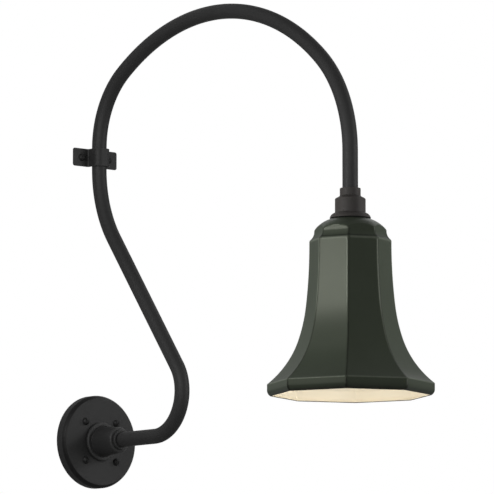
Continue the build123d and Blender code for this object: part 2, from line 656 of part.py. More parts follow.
def make_shade():
    """Octagonal bell of pressed sheet, made of one facet repeated round the axis under a turned dome."""
    outer, rim_z = facet_outline()
    inner = offset(outer, -SHADE_WALL, kind=Kind.INTERSECTION)
    core_height = shade_top_z - SHADE_WALL - rim_z
    core = Pos(0, rim_z + core_height / 2) * Rectangle(2 * (crown_radius - SHADE_WALL), core_height)
    lowest = inner.edges().sort_by(Axis.Y)[0]
    mouth_width = lowest.bounding_box().max.X
    mouth = Pos(0, rim_z + RIM_CURL_HEIGHT / 2) * Rectangle(2 * mouth_width, RIM_CURL_HEIGHT)
    reach = outer.bounding_box().max.X + SHADE_WALL
    half_angle = radians(180 / SHADE_SIDES)
    side = reach * tan(half_angle)
    corner_reach = reach / cos(half_angle)
    dome = dome_outline(0, corner_reach, rim_z - SHADE_WALL)
    dome_inside = dome_outline(SHADE_WALL, corner_reach, rim_z - SHADE_WALL)
    body = Plane.XZ * extrude(outer, amount=side, both=True)
    body &= revolve(Plane.XZ * dome, axis=Axis.Z)
    cavity = Plane.XZ * extrude(inner + core + mouth, amount=side, both=True)
    cavity &= revolve(Plane.XZ * dome_inside, axis=Axis.Z)
    wedge = make_face(Polyline((0, 0), (reach, side), (reach, -side), close=True))
    facet = (body - cavity) & Pos(0, 0, rim_z) * extrude(wedge, amount=shade_top_z - rim_z)
    facet -= rod(spigot_radius + FIT_GAP, rim_z, shade_top_z)
    facets = [Rot(0, 0, 360 * (k + 0.5) / SHADE_SIDES) * facet for k in range(SHADE_SIDES)]
    return shade_axis * facets[0].fuse(*facets[1:])


def make_shade_ring_nut():
    """Ring nut on the cap's spigot that clamps the shade."""
    top = shade_top_z - SHADE_WALL
    inner = spigot_radius + THREAD_GAP
    return shade_axis * ring(cap_seat_radius, inner, top - RING_NUT_THICKNESS, top)


# Lamp socket on a threaded stem in the arm's end
socket_top_z = spigot_end_z - SOCKET_GAP
socket_plate_z = socket_top_z - SOCKET_CAP_WALL
holder_top_z = socket_plate_z - TERMINAL_SPACE
socket_foot_z = holder_top_z - SOCKET_CAP_LAP
shell_radius = LAMP_BASE_RADIUS + SHELL_WALL
holder_bore = shell_radius + FIT_GAP
holder_neck_radius = holder_bore + HOLDER_WALL
holder_radius = holder_neck_radius + HOLDER_LIP_WIDTH
holder_foot_z = socket_foot_z - HOLDER_HEIGHT
holder_floor_z = holder_top_z - TERMINAL_LENGTH - HOLDER_WEB - RIVET_LENGTH
socket_collar_radius = stem_radius + THREAD_GAP + SOCKET_COLLAR_WALL
holder_screw_y = socket_collar_radius + HOLDER_SCREW_GAP + HOLDER_SCREW_HEAD_DIAMETER / 2
terminal_x = lead_x + lead_radius + LEAD_END_GAP + TERMINAL_HEAD_DIAMETER / 2
rivet_x = holder_bore - RIVET_WALL_GAP - RIVET_HEAD_DIAMETER / 2
contact_hinge_x = rivet_x - RIVET_HEAD_DIAMETER / 2 - CONTACT_THICKNESS
contact_hinge_z = holder_floor_z - SEAT_GAP - CONTACT_THICKNESS / 2
contact_length = contact_hinge_x + CONTACT_REACH
contact_drop = contact_length * sin(radians(CONTACT_SLOPE)) + CONTACT_THICKNESS / 2
shell_foot_z = holder_foot_z + SHELL_INSET
shell_top_z = contact_hinge_z - contact_drop - SEAT_GAP


def make_socket_stem():
    """Threaded tube that hangs the socket from the arm's end."""
    low = socket_plate_z - STEM_PROUD
    return shade_axis * ring(stem_radius, stem_bore, low, arm_end_z + STEM_INSERT)


def make_stem_nut():
    """Nut against the arm's end that carries the shade's cap."""
    bore = stem_radius + THREAD_GAP
    return shade_axis * hexagon_nut(stem_nut_across_flats, bore, arm_end_z - STEM_NUT_THICKNESS, arm_end_z)


def make_socket_cap():
    """Metal cup with a threaded collar on the stem."""
    bore = stem_radius + THREAD_GAP
    inner = holder_neck_radius + FIT_GAP
    cap = ring(socket_collar_radius, bore, socket_plate_z, socket_top_z + SOCKET_COLLAR_HEIGHT)
    cap += ring(holder_radius, bore, socket_plate_z, socket_top_z)
    cap += ring(holder_radius, inner, socket_foot_z, socket_plate_z)
    for place in holder_screw_places():
        cap -= place * rod(HOLDER_SCREW_DIAMETER / 2 + THREAD_GAP, -SOCKET_CAP_WALL, 0)
    return shade_axis * cap


def holder_screw_places():
    """Places of the two screws that join socket cap and porcelain, on the socket cap's top."""
    return [Pos(0, side * holder_screw_y, socket_top_z) for side in (-1, 1)]


def holder_screw_length():
    """Length of a screw from the socket cap's top into the porcelain."""
    return SOCKET_CAP_WALL + TERMINAL_SPACE + HOLDER_SCREW_BITE


def make_lamp_holder():
    """Porcelain body, open below for the lamp's base."""
    holder = rod(holder_neck_radius, socket_foot_z, holder_top_z)
    holder += rod(holder_radius, holder_foot_z, socket_foot_z)
    holder -= rod(holder_bore, holder_foot_z, holder_floor_z)
    for side in (-1, 1):
        tapped = rod(TERMINAL_DIAMETER / 2 + THREAD_GAP, holder_top_z - TERMINAL_LENGTH, holder_top_z)
        holder -= Pos(side * terminal_x, 0, 0) * tapped
    for place in holder_screw_places():
        holder -= place * rod(HOLDER_SCREW_DIAMETER / 2 + THREAD_GAP, -holder_screw_length(), 0)
    rivet_hole = rod(RIVET_DIAMETER / 2 + THREAD_GAP, holder_floor_z, holder_floor_z + RIVET_LENGTH)
    return shade_axis * (holder - Pos(rivet_x, 0, 0) * rivet_hole)


def make_holder_screws():
    """Two screws that join socket cap and porcelain."""
    radius = HOLDER_SCREW_HEAD_DIAMETER / 2
    head = round_head(radius, HOLDER_SCREW_HEAD_HEIGHT, DRIVE_SLOT_WIDTH, SMALL_SLOT_DEPTH)
    screw = head + rod(HOLDER_SCREW_DIAMETER / 2, -holder_screw_length(), 0)
    return Compound([shade_axis * (place * screw) for place in holder_screw_places()])


def make_terminal_screws():
    """Two wiring terminals on the porcelain's top."""
    head = round_head(TERMINAL_HEAD_DIAMETER / 2, TERMINAL_HEAD_HEIGHT, DRIVE_SLOT_WIDTH, SMALL_SLOT_DEPTH)
    screw = head + rod(TERMINAL_DIAMETER / 2, -TERMINAL_LENGTH, 0)
    return Compound([shade_axis * Pos(side * terminal_x, 0, holder_top_z) * screw for side in (-1, 1)])


def make_screw_shell():
    """Brass shell for the lamp's screw base, with a plain wall."""
    return shade_axis * ring(shell_radius, LAMP_BASE_RADIUS, shell_foot_z, shell_top_z)


def make_contact_rivet():
    """Rivet beside the root of the centre contact."""
    head = rod(RIVET_HEAD_DIAMETER / 2, holder_floor_z - RIVET_HEAD_HEIGHT, holder_floor_z)
    return shade_axis * Pos(rivet_x, 0, 0) * (
        head + rod(RIVET_DIAMETER / 2, holder_floor_z, holder_floor_z + RIVET_LENGTH)
    )


def make_centre_contact():
    """Sprung brass tongue that slopes down from its root to the lamp's contact."""
    strip = Pos(-contact_length / 2, 0, 0) * Box(contact_length, CONTACT_WIDTH, CONTACT_THICKNESS)
    return shade_axis * Pos(contact_hinge_x, 0, contact_hinge_z) * Rot(0, -CONTACT_SLOPE, 0) * strip


# Wiring from the wall box through the arm to the socket
def make_lead(across):
    """Lead from its connector in the wall plate to its terminal on the porcelain."""
    start = (connector_out, -(CONNECTOR_TOP + LEAD_ENTRY))
    rise_line = Line(start, (connector_out, -LEAD_BEND))
    turn = JernArc(rise_line @ 1, rise_line % 1, LEAD_BEND, -90)
    return swept(Circle(lead_radius), arm_line([rise_line, turn], holder_top_z + LEAD_END_GAP), across)


def make_ground_lead():
    """Lead from the grounding screw to the socket cap's wiring room."""
    start = (ground_lead_out, GROUND_SCREW_HEIGHT + GROUND_LEAD_TAIL)
    fall_line = Line(start, (ground_lead_out, LEAD_BEND))
    turn = JernArc(fall_line @ 1, fall_line % 1, LEAD_BEND, 90)
    return swept(Circle(lead_radius), arm_line([fall_line, turn], holder_top_z + LEAD_END_GAP), 0)


def make_lead_connectors():
    """Two twist-on connectors on the leads' ends, mouths up."""
    mouth, tip = connector_mouth, connector_mouth - CONNECTOR_TAPER
    bore = lead_radius + FIT_GAP
    body = turned([
        Line((0, -CONNECTOR_LENGTH), (tip, -CONNECTOR_LENGTH)),
        Line((tip, -CONNECTOR_LENGTH), (mouth, 0)),
        Line((mouth, 0), (bore, 0)),
        Line((bore, 0), (bore, -CONNECTOR_BORE_DEPTH)),
        Line((bore, -CONNECTOR_BORE_DEPTH), (0, -CONNECTOR_BORE_DEPTH)),
        Line((0, -CONNECTOR_BORE_DEPTH), (0, -CONNECTOR_LENGTH)),
    ])
    places = [Pos(side * lead_x, -connector_out, -CONNECTOR_TOP) for side in (-1, 1)]
    return Compound([place * body for place in places])


pieces = {
    "box_bracket": make_box_bracket(),
    "wall_gasket": make_wall_gasket(),
    "wall_plate": make_wall_plate(),
    "plate_screws": make_plate_screws(),
    "ground_screw": make_ground_screw(),
    "arm_hub": make_arm_hub(),
    "hub_locknut": make_hub_locknut(),
    "hub_collar": make_hub_collar(),
    "hub_set_screw": make_hub_set_screw(),
    "gooseneck_arm": make_gooseneck_arm(),
    "wall_strap": make_wall_strap(),
    "strap_screws": make_strap_screws(),
    "shade_cap": make_shade_cap(),
    "cap_set_screw": make_cap_set_screw(),
    "cap_gasket": make_cap_gasket(),
    "shade": make_shade(),
    "shade_ring_nut": make_shade_ring_nut(),
    "socket_stem": make_socket_stem(),
    "stem_nut": make_stem_nut(),
    "socket_cap": make_socket_cap(),
    "lamp_holder": make_lamp_holder(),
    "holder_screws": make_holder_screws(),
    "terminal_screws": make_terminal_screws(),
    "screw_shell": make_screw_shell(),
    "contact_rivet": make_contact_rivet(),
    "centre_contact": make_centre_contact(),
    "line_lead": make_lead(-lead_x),
    "neutral_lead": make_lead(lead_x),
    "ground_lead": make_ground_lead(),
    "lead_connectors": make_lead_connectors(),
}

os.makedirs("parts", exist_ok=True)
for name, piece in pieces.items():
    export_step(piece, f"parts/{name}.step")
    box = piece.bounding_box()
    print(name, "volume", round(piece.volume, 1), "size", [round(x, 2) for x in box.size])
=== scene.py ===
"""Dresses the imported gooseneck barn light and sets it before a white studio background.

The visible pieces are surfaces worked out with numpy in millimetres, in the frame of the CAD part: the wall
is the plane y = 0, the light stands out of it along -Y, and Z is up. Hidden pieces keep their CAD shape and
get a finish.
"""
import logging
import math
from dataclasses import dataclass, field
from enum import Enum

import bmesh
import bpy
import numpy as np
from mathutils import Matrix, Vector


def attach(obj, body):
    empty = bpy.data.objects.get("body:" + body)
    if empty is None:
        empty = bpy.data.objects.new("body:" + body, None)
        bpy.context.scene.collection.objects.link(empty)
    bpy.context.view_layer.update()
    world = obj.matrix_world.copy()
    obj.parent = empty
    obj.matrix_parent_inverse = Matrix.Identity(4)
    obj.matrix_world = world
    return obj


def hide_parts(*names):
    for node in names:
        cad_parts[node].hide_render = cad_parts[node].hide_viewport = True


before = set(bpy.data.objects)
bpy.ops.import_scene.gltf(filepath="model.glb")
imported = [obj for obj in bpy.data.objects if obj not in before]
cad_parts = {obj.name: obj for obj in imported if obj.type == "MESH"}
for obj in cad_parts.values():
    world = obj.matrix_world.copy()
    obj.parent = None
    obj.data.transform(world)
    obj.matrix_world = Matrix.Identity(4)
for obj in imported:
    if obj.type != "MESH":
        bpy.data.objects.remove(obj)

log = logging.getLogger("barn_light")

Array = np.ndarray
Colour = tuple[int, int, int]
Place = tuple[float, float, float]
Corner = tuple[float, float, float]     # first and second coordinate, and radius
MM = 0.001
SHADE_OUT = 533.4       # wall to the shade's axis
TUBE_RADIUS = 10.15
TUBE_START = 29.9       # wall to the tube's end in the hub
FIT = 0.1               # play between pieces that fit into each other
NO_LIMIT = 1000.0       # radius past every piece
MERGE = 2e-6            # metres between points that become one
SLIVER = 1e-7           # metres across a face that is taken out
IMAGE_SIDE = 494        # pixels of the photograph
SIDES = 8
SIDE_ANGLE = 2 * np.pi / SIDES
FINISHED = "finished_"  # before the name of each finish's material
DRESSED = "dressed_"    # before the name of each piece that stands for a CAD node
GRAPHITE = "graphite_paint"
WHITE = (1.0, 1.0, 1.0, 1.0)


class Body(Enum):
    """Bodies that dressed pieces ride on."""

    ARM = "arm_assembly"
    SHADE = "shade_assembly"


class Spin(Enum):
    """Axes that pieces are turned about."""

    WALL = "out of the wall"
    SHADE = "upright through the shade"


# Shapes


@dataclass
class Skin:
    """A grid of points in millimetres that becomes faces.

    Args:
        points: Places of the grid, as rows by columns by 3.
        edge: How far each point stands on an outer edge (towards 1) or in a hollow (towards -1); on the
            shade, the plate's bevel and the screw slots the values are painted highlight (towards 1) and
            painted shade (towards -1).
        rows_closed: Whether the last row joins the first.
        columns_closed: Whether the last column joins the first.
        finish: Material number of each row of faces, or None for the first material.
    """

    points: Array
    edge: Array
    rows_closed: bool = True
    columns_closed: bool = True
    finish: Array | None = None

    def bands(self) -> tuple[int, int]:
        """Rows and columns of faces."""
        rows, columns = self.points.shape[:2]
        return rows - 1 + self.rows_closed, columns - 1 + self.columns_closed

    def faces(self) -> Array:
        """Joins each point to the next ones in its row and column.

        Returns:
            Four corner numbers of each face, row by row.
        """
        rows, columns = self.points.shape[:2]
        down, across = self.bands()
        row, column = np.arange(down)[:, None], np.arange(across)
        next_row, next_column = (row + 1) % rows, (column + 1) % columns
        corners = [row * columns + column, row * columns + next_column,
                   next_row * columns + next_column, next_row * columns + column]
        return np.stack(corners, axis=-1).reshape(-1, 4)

    def face_finish(self) -> Array:
        """Repeats the rows' material numbers over their faces.

        Returns:
            Material number of each face.
        """
        down, across = self.bands()
        numbers = np.zeros(down, dtype=int) if self.finish is None else self.finish[:down]
        return np.repeat(numbers, across)


class Pen:
    """Draws a flat line of straights and tangent arcs, and remembers the heading at each point."""

    CREST_RADIUS = 2.0      # radius at which a bend is a full crest
    LEAST_RUN = 0.05        # least distance between points, for their bend

    def __init__(self, start: tuple[float, float], heading: float) -> None:
        """Starts at a point with a heading in degrees from the first axis."""
        self._points = [np.array([start], dtype=float)]
        self._headings = [np.array([math.radians(heading)])]

    def straight(self, length: float, step: float) -> "Pen":
        """Goes on along the heading: start + distance times direction.

        Args:
            length: Length of the straight.
            step: Longest distance between points.

        Returns:
            The pen, for the next stroke.
        """
        distance = np.linspace(0.0, length, max(1, math.ceil(length / step)) + 1)[1:, None]
        heading = self._headings[-1][-1]
        direction = np.array([[math.cos(heading), math.sin(heading)]])
        self._points.append(self._points[-1][-1] + distance * direction)
        self._headings.append(np.full(len(distance), heading))
        return self

    def bend(self, radius: float, turn: float, step: float) -> "Pen":
        """Goes round a tangent arc: start + radius (sin t along the heading + (1 - cos t) inward).

        Args:
            radius: Radius of the arc.
            turn: Turn in degrees, to the left where it is positive.
            step: Longest distance between points.

        Returns:
            The pen, for the next stroke.
        """
        sweep = math.radians(abs(turn))
        t = np.linspace(0.0, sweep, max(2, math.ceil(radius * sweep / step)) + 1)[1:, None]
        heading = self._headings[-1][-1]
        side = math.copysign(1.0, turn)
        ahead = np.array([[math.cos(heading), math.sin(heading)]])
        inward = side * np.array([[-math.sin(heading), math.cos(heading)]])
        arc = radius * (np.sin(t) * ahead + (1 - np.cos(t)) * inward)
        self._points.append(self._points[-1][-1] + arc)
        self._headings.append(heading + side * t[:, 0])
        return self

    @property
    def points(self) -> Array:
        """All points, as count by 2."""
        return np.concatenate(self._points)

    @property
    def headings(self) -> Array:
        """Heading at each point, in radians."""
        return np.concatenate(self._headings)

    def crest(self) -> Array:
        """Finds outer bends: the crest radius over that of a right-hand bend, at most 1.

        Returns:
            The crest at each point, 0 where it is straight or bends to the left.
        """
        run = np.linalg.norm(np.diff(self.points, axis=0), axis=1)
        bend = -np.diff(self.headings) / np.maximum(run, self.LEAST_RUN)
        sharper = np.maximum(np.append(bend, 0.0), np.insert(bend, 0, 0.0))
        return np.clip(self.CREST_RADIUS * sharper, 0.0, 1.0)


def ring(count: int) -> Array:
    """Even directions round a circle, in radians."""
    return np.linspace(0.0, 2 * np.pi, count, endpoint=False)


def upright(radius: Array, angle: Array, height: Array) -> Array:
    """Points about the shade's axis: radius cos angle, radius sin angle - reach, height.

    Args:
        radius: Distance from the axis, as rows by columns or rows by 1.
        angle: Direction of each column.
        height: Height of each row, as rows by 1.

    Returns:
        Points as rows by columns by 3.
    """
    places = (radius * np.cos(angle), radius * np.sin(angle) - SHADE_OUT, height)
    return np.stack(np.broadcast_arrays(*places), axis=-1)


def rounded(corners: list[Corner], steps: int = 6) -> tuple[Array, Array]:
    """Closed outline whose corners are tangent arcs.

    A corner of radius r and turn T starts r tan(T / 2) before its point and goes round by
    r (sin t along the first side + (1 - cos t) to the inner side), for t from 0 to T.

    Args:
        corners: First and second coordinate and radius of each corner.
        steps: Chords in each arc.

    Returns:
        The points as count by 2, and for each how far it stands on an outer (+) or inner (-) corner.
    """
    data = np.array(corners, dtype=float)
    place, radius = data[:, :2], data[:, 2]
    into = place - np.roll(place, 1, axis=0)
    into /= np.linalg.norm(into, axis=1, keepdims=True)
    out = np.roll(into, -1, axis=0)
    cross = into[:, 0] * out[:, 1] - into[:, 1] * out[:, 0]
    turn = np.arctan2(cross, np.sum(into * out, axis=1))
    start = place - (radius * np.tan(np.abs(turn) / 2))[:, None] * into
    inner = np.sign(turn)[:, None] * np.stack([-into[:, 1], into[:, 0]], axis=1)
    share = np.linspace(0.0, 1.0, steps + 1)
    t = (np.abs(turn)[:, None] * share)[..., None]
    arcs = start[:, None] + radius[:, None, None] * (
        np.sin(t) * into[:, None] + (1 - np.cos(t)) * inner[:, None])
    following = np.roll(place, -1, axis=0)
    area = np.sum(place[:, 0] * following[:, 1] - place[:, 1] * following[:, 0])
    swell = np.sign(area) * np.sign(turn) * np.minimum(1.0, np.abs(turn)) * (radius > 0)
    edge = swell[:, None] * np.sin(np.pi * share)
    return arcs.reshape(-1, 2), edge.reshape(-1)


def lathe(outline: Array, edge: Array, spin: Spin, segments: int = 112) -> Skin:
    """Outline of (radius, height) turned about an axis: radius cos p and radius sin p, and height along it.

    Args:
        outline: Closed outline as count by 2.
        edge: Edge value of each outline point.
        spin: The axis to turn about.
        segments: Steps round the axis.

    Returns:
        A closed skin.
    """
    radius, height, p = outline[:, :1], outline[:, 1:], ring(segments)
    if spin is Spin.SHADE:
        points = upright(radius, p, height)
    else:
        places = (radius * np.cos(p), -height, radius * np.sin(p))
        points = np.stack(np.broadcast_arrays(*places), axis=-1)
    return Skin(points, np.broadcast_to(edge[:, None], points.shape[:2]))


def arc_between(start: tuple[float, float], end: tuple[float, float], bulge: float,
                steps: int) -> list[Corner]:
    """Points between start and end on an arc that swells to the left of its chord.

    The swell is a parabola, bulge times 4 s (1 - s), within a few hundredths of a millimetre of an arc.

    Args:
        start: First point.
        end: Last point.
        bulge: Height of the arc over its chord.
        steps: Chords in the arc.

    Returns:
        Corners with radius 0 for rounded(), without the two ends.
    """
    s = np.linspace(0.0, 1.0, steps + 1)[1:-1, None]
    chord = np.array(end) - np.array(start)
    side = np.array([-chord[1], chord[0]]) / np.linalg.norm(chord)
    points = np.array(start) + s * chord + 4 * bulge * s * (1 - s) * side
    return [(*point, 0.0) for point in points.tolist()]


def show(name: str, data: bpy.types.ID) -> bpy.types.Object:
    """Puts an object in the scene.

    Args:
        name: Name of the object.
        data: Its mesh, lamp or camera.

    Returns:
        The object.
    """
    thing = bpy.data.objects.new(name, data)
    bpy.context.scene.collection.objects.link(thing)
    return thing


@dataclass(frozen=True)
class Hole:
    """Round hole in a piece, in millimetres.

    Args:
        start: Middle of its inner end.
        end: Middle of its outer end.
        radius: Its radius.
        segments: Flats round it.
    """

    start: Place
    end: Place
    radius: float = 2.1
    segments: int = 32

    def cut(self, mesh: bpy.types.Mesh) -> bpy.types.Mesh:
        """Takes a round rod from start to end out of a mesh.

        Args:
            mesh: The closed mesh, which is replaced.

        Returns:
            The mesh with the hole.
        """
        along = Vector(self.end) - Vector(self.start)
        middle = Matrix.Translation((Vector(self.start) + along / 2) * MM)
        shape = bmesh.new()
        bmesh.ops.create_cone(
            shape, cap_ends=True, segments=self.segments, radius1=self.radius * MM, radius2=self.radius * MM,
            depth=along.length * MM, matrix=middle @ along.to_track_quat("Z", "Y").to_matrix().to_4x4())
        rod = bpy.data.meshes.new("Rod")
        shape.to_mesh(rod)
        shape.free()
        pair = [show(data.name, data) for data in (mesh, rod)]
        step = pair[0].modifiers.new("Hole", "BOOLEAN")
        step.operation, step.solver, step.object = "DIFFERENCE", "EXACT", pair[1]
        result = pair[0].evaluated_get(bpy.context.evaluated_depsgraph_get())
        made = bpy.data.meshes.new_from_object(result)
        for thing in pair:
            data = thing.data
            bpy.data.objects.remove(thing)
            bpy.data.meshes.remove(data)
        return made


def piece(node: str, skins: list[Skin], finishes: list[str], body: Body, sharp: float = 42.0,
          holes: tuple[Hole, ...] = ()) -> bpy.types.Object:
    """Makes one object from skins, rides it on its body and hides the CAD node that it stands for.

    Args:
        node: CAD node that it replaces.
        skins: Its grids.
        finishes: Names of its finishes.
        body: The body that it moves with.
        sharp: Angle in degrees past which an edge stays sharp.
        holes: Holes to cut in it.

    Returns:
        The new object.
    """
    name = DRESSED + node
    starts = np.cumsum([0] + [skin.edge.size for skin in skins[:-1]])
    points = np.concatenate([skin.points.reshape(-1, 3) for skin in skins]) * MM
    faces = np.concatenate([skin.faces() + start for skin, start in zip(skins, starts)])
    edges = np.concatenate([skin.edge.reshape(-1) for skin in skins]).astype(np.float32)
    mesh = bpy.data.meshes.new(name)
    mesh.from_pydata(points.tolist(), [], faces.tolist())
    mesh.attributes.new("edge", "FLOAT", "POINT").data.foreach_set("value", edges)
    for key in finishes:
        mesh.materials.append(finish(key))
    numbers = np.concatenate([skin.face_finish() for skin in skins])
    mesh.polygons.foreach_set("material_index", numbers)
    shape = bmesh.new()
    shape.from_mesh(mesh)
    bmesh.ops.remove_doubles(shape, verts=shape.verts, dist=MERGE)
    bmesh.ops.dissolve_degenerate(shape, edges=shape.edges, dist=SLIVER)
    bmesh.ops.recalc_face_normals(shape, faces=shape.faces)
    shape.to_mesh(mesh)
    shape.free()
    for hole in holes:
        mesh = hole.cut(mesh)
    mesh.name = name
    mesh.polygons.foreach_set("use_smooth", np.ones(len(mesh.polygons), dtype=bool))
    mesh.set_sharp_from_angle(angle=math.radians(sharp))
    thing = show(name, mesh)
    flats = thing.modifiers.new("Even shading", "WEIGHTED_NORMAL")
    flats.keep_sharp = True
    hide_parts(node)
    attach(thing, body.value)
    log.info("%s: %d faces", name, len(mesh.polygons))
    return thing


# Finishes


def linear(colour: Colour) -> tuple[float, float, float, float]:
    """Takes a colour through the sRGB curve: c / 12.92 where it is dark, else ((c + 0.055) / 1.055)^2.4.

    Args:
        colour: Red, green and blue from 0 to 255.

    Returns:
        The shader's linear red, green, blue and alpha.
    """
    c = np.array(colour) / 255.0
    value = np.where(c <= 0.04045, c / 12.92, ((c + 0.055) / 1.055) ** 2.4)
    return (*value.tolist(), 1.0)


class Sheet:
    """Adds and links nodes in one node tree."""

    def __init__(self, tree: bpy.types.NodeTree) -> None:
        """Works on the given tree."""
        self.tree = tree

    def feed(self, entry: bpy.types.NodeSocket, value: object) -> None:
        """Links a socket to an input, or gives the input a constant.

        Args:
            entry: The input.
            value: A socket or a constant.
        """
        if isinstance(value, bpy.types.NodeSocket):
            self.tree.links.new(value, entry)
        else:
            entry.default_value = value

    def fill(self, node: bpy.types.Node, **values: object) -> bpy.types.Node:
        """Sets a node's properties, or feeds its inputs where no property has the name.

        Args:
            node: The node.
            values: Property or input names, with _ for a space in an input's name.

        Returns:
            The node.
        """
        for key, value in values.items():
            if hasattr(node, key):
                setattr(node, key, value)
            else:
                self.feed(node.inputs[key.replace("_", " ")], value)
        return node

    def add(self, kind: str, *inputs: object, **values: object) -> bpy.types.Node:
        """Adds a node.

        Args:
            kind: Node type.
            inputs: What feeds its first inputs, in their order.
            values: Properties and other inputs, for fill().

        Returns:
            The node.
        """
        node = self.fill(self.tree.nodes.new(kind), **values)
        for entry, value in zip(node.inputs, inputs):
            self.feed(entry, value)
        return node

    def mix(self, share: bpy.types.NodeSocket, first: object, second: object) -> bpy.types.NodeSocket:
        """Mixes two colours by a share, where each colour is a socket or four numbers.

        Args:
            share: Socket with 0 for the first colour and 1 for the second.
            first: First colour.
            second: Second colour.

        Returns:
            The mixed colour's socket.
        """
        node = self.add("ShaderNodeMix", data_type="RGBA")
        self.feed(node.inputs["Factor"], share)
        entries = [entry for entry in node.inputs if entry.type == "RGBA"]
        for entry, colour in zip(entries, (first, second)):
            self.feed(entry, colour)
        return next(result for result in node.outputs if result.type == "RGBA")

    def spread(self, value: bpy.types.NodeSocket, span: tuple[float, float], low: object,
               high: object) -> bpy.types.NodeSocket:
        """Maps a span onto low to high with soft ends.

        Args:
            value: Socket to map.
            span: Values that give low and high.
            low: First result, as a number or a socket.
            high: Last result, as a number or a socket.

        Returns:
            The mapped value's socket.
        """
        node = self.add("ShaderNodeMapRange", value, *span, low, high, interpolation_type="SMOOTHSTEP")
        return node.outputs["Result"]

    def seen(self) -> bpy.types.NodeSocket:
        """Tells rays that see from rays that light, as the largest of three Light Path outputs.

        Returns:
            Socket that is 1 for camera, mirror and glass rays and 0 for light.
        """
        path = self.add("ShaderNodeLightPath")
        seen = path.outputs["Is Camera Ray"]
        for key in ("Is Glossy Ray", "Is Transmission Ray"):
            both = self.add("ShaderNodeMath", seen, path.outputs[key], operation="MAXIMUM")
            seen = both.outputs["Value"]
        return seen


def group(name: str, inputs: dict[str, float], outputs: list[str]) -> Sheet:
    """Starts a shader node group of plain values.

    Args:
        name: Name of the group.
        inputs: Names and defaults of its inputs.
        outputs: Names of its outputs.

    Returns:
        A sheet to fill it.
    """
    tree = bpy.data.node_groups.new(name, "ShaderNodeTree")
    for key, value in inputs.items():
        socket = tree.interface.new_socket(key, in_out="INPUT", socket_type="NodeSocketFloat")
        socket.default_value = value
    for key in outputs:
        tree.interface.new_socket(key, in_out="OUTPUT", socket_type="NodeSocketFloat")
    return Sheet(tree)


NOISE_SPAN = (0.3, 0.7)     # where most of a noise's values lie
PATCH_SPAN = (0.32, 0.68)
EDGE_SPAN = (0.15, 0.95)    # edge values from none to the full edge colour
BUMP = 0.6
GLAZE_ROUGHNESS = 0.12


def grain_group() -> None:
    """Grain of a sprayed or rolled surface: fine noise, and broad clouds of tone, on Object coordinates."""
    sheet = group("Surface grain", {"Grain Scale": 900.0, "Cloud Scale": 14.0}, ["Grain", "Cloud"])
    entry, leave = sheet.add("NodeGroupInput"), sheet.add("NodeGroupOutput")
    place = sheet.add("ShaderNodeTexCoord").outputs["Object"]
    for result, detail in (("Grain", 3.0), ("Cloud", 4.0)):
        noise = sheet.add("ShaderNodeTexNoise", Vector=place, Scale=entry.outputs[result + " Scale"],
                          Detail=detail, Roughness=0.55)
        sheet.feed(leave.inputs[result], noise.outputs["Fac"])


def wear_and_light_group() -> None:
    """Lighter outer edges and darker hollows from the edge attribute, broken up by noise: worn edges and
    dust on most pieces, painted highlight and painted shade on the shade, the plate's bevel and the screw
    slots.
    """
    sheet = group("Edge wear", {"Patch Scale": 160.0, "Least Share": 0.35}, ["Rubbed", "Dusty"])
    entry, leave = sheet.add("NodeGroupInput"), sheet.add("NodeGroupOutput")
    place = sheet.add("ShaderNodeTexCoord").outputs["Object"]
    noise = sheet.add("ShaderNodeTexNoise", Vector=place, Scale=entry.outputs["Patch Scale"], Detail=4.0,
                      Roughness=0.6)
    edge = sheet.add("ShaderNodeAttribute", attribute_name="edge").outputs["Fac"]
    patch = sheet.spread(noise.outputs["Fac"], PATCH_SPAN, entry.outputs["Least Share"], 1.0)
    for sign, result in ((1.0, "Rubbed"), (-1.0, "Dusty")):
        side = sheet.spread(edge, (sign * EDGE_SPAN[0], sign * EDGE_SPAN[1]), 0.0, 1.0)
        share = sheet.add("ShaderNodeMath", side, patch, operation="MULTIPLY")
        sheet.feed(leave.inputs[result], share.outputs["Value"])


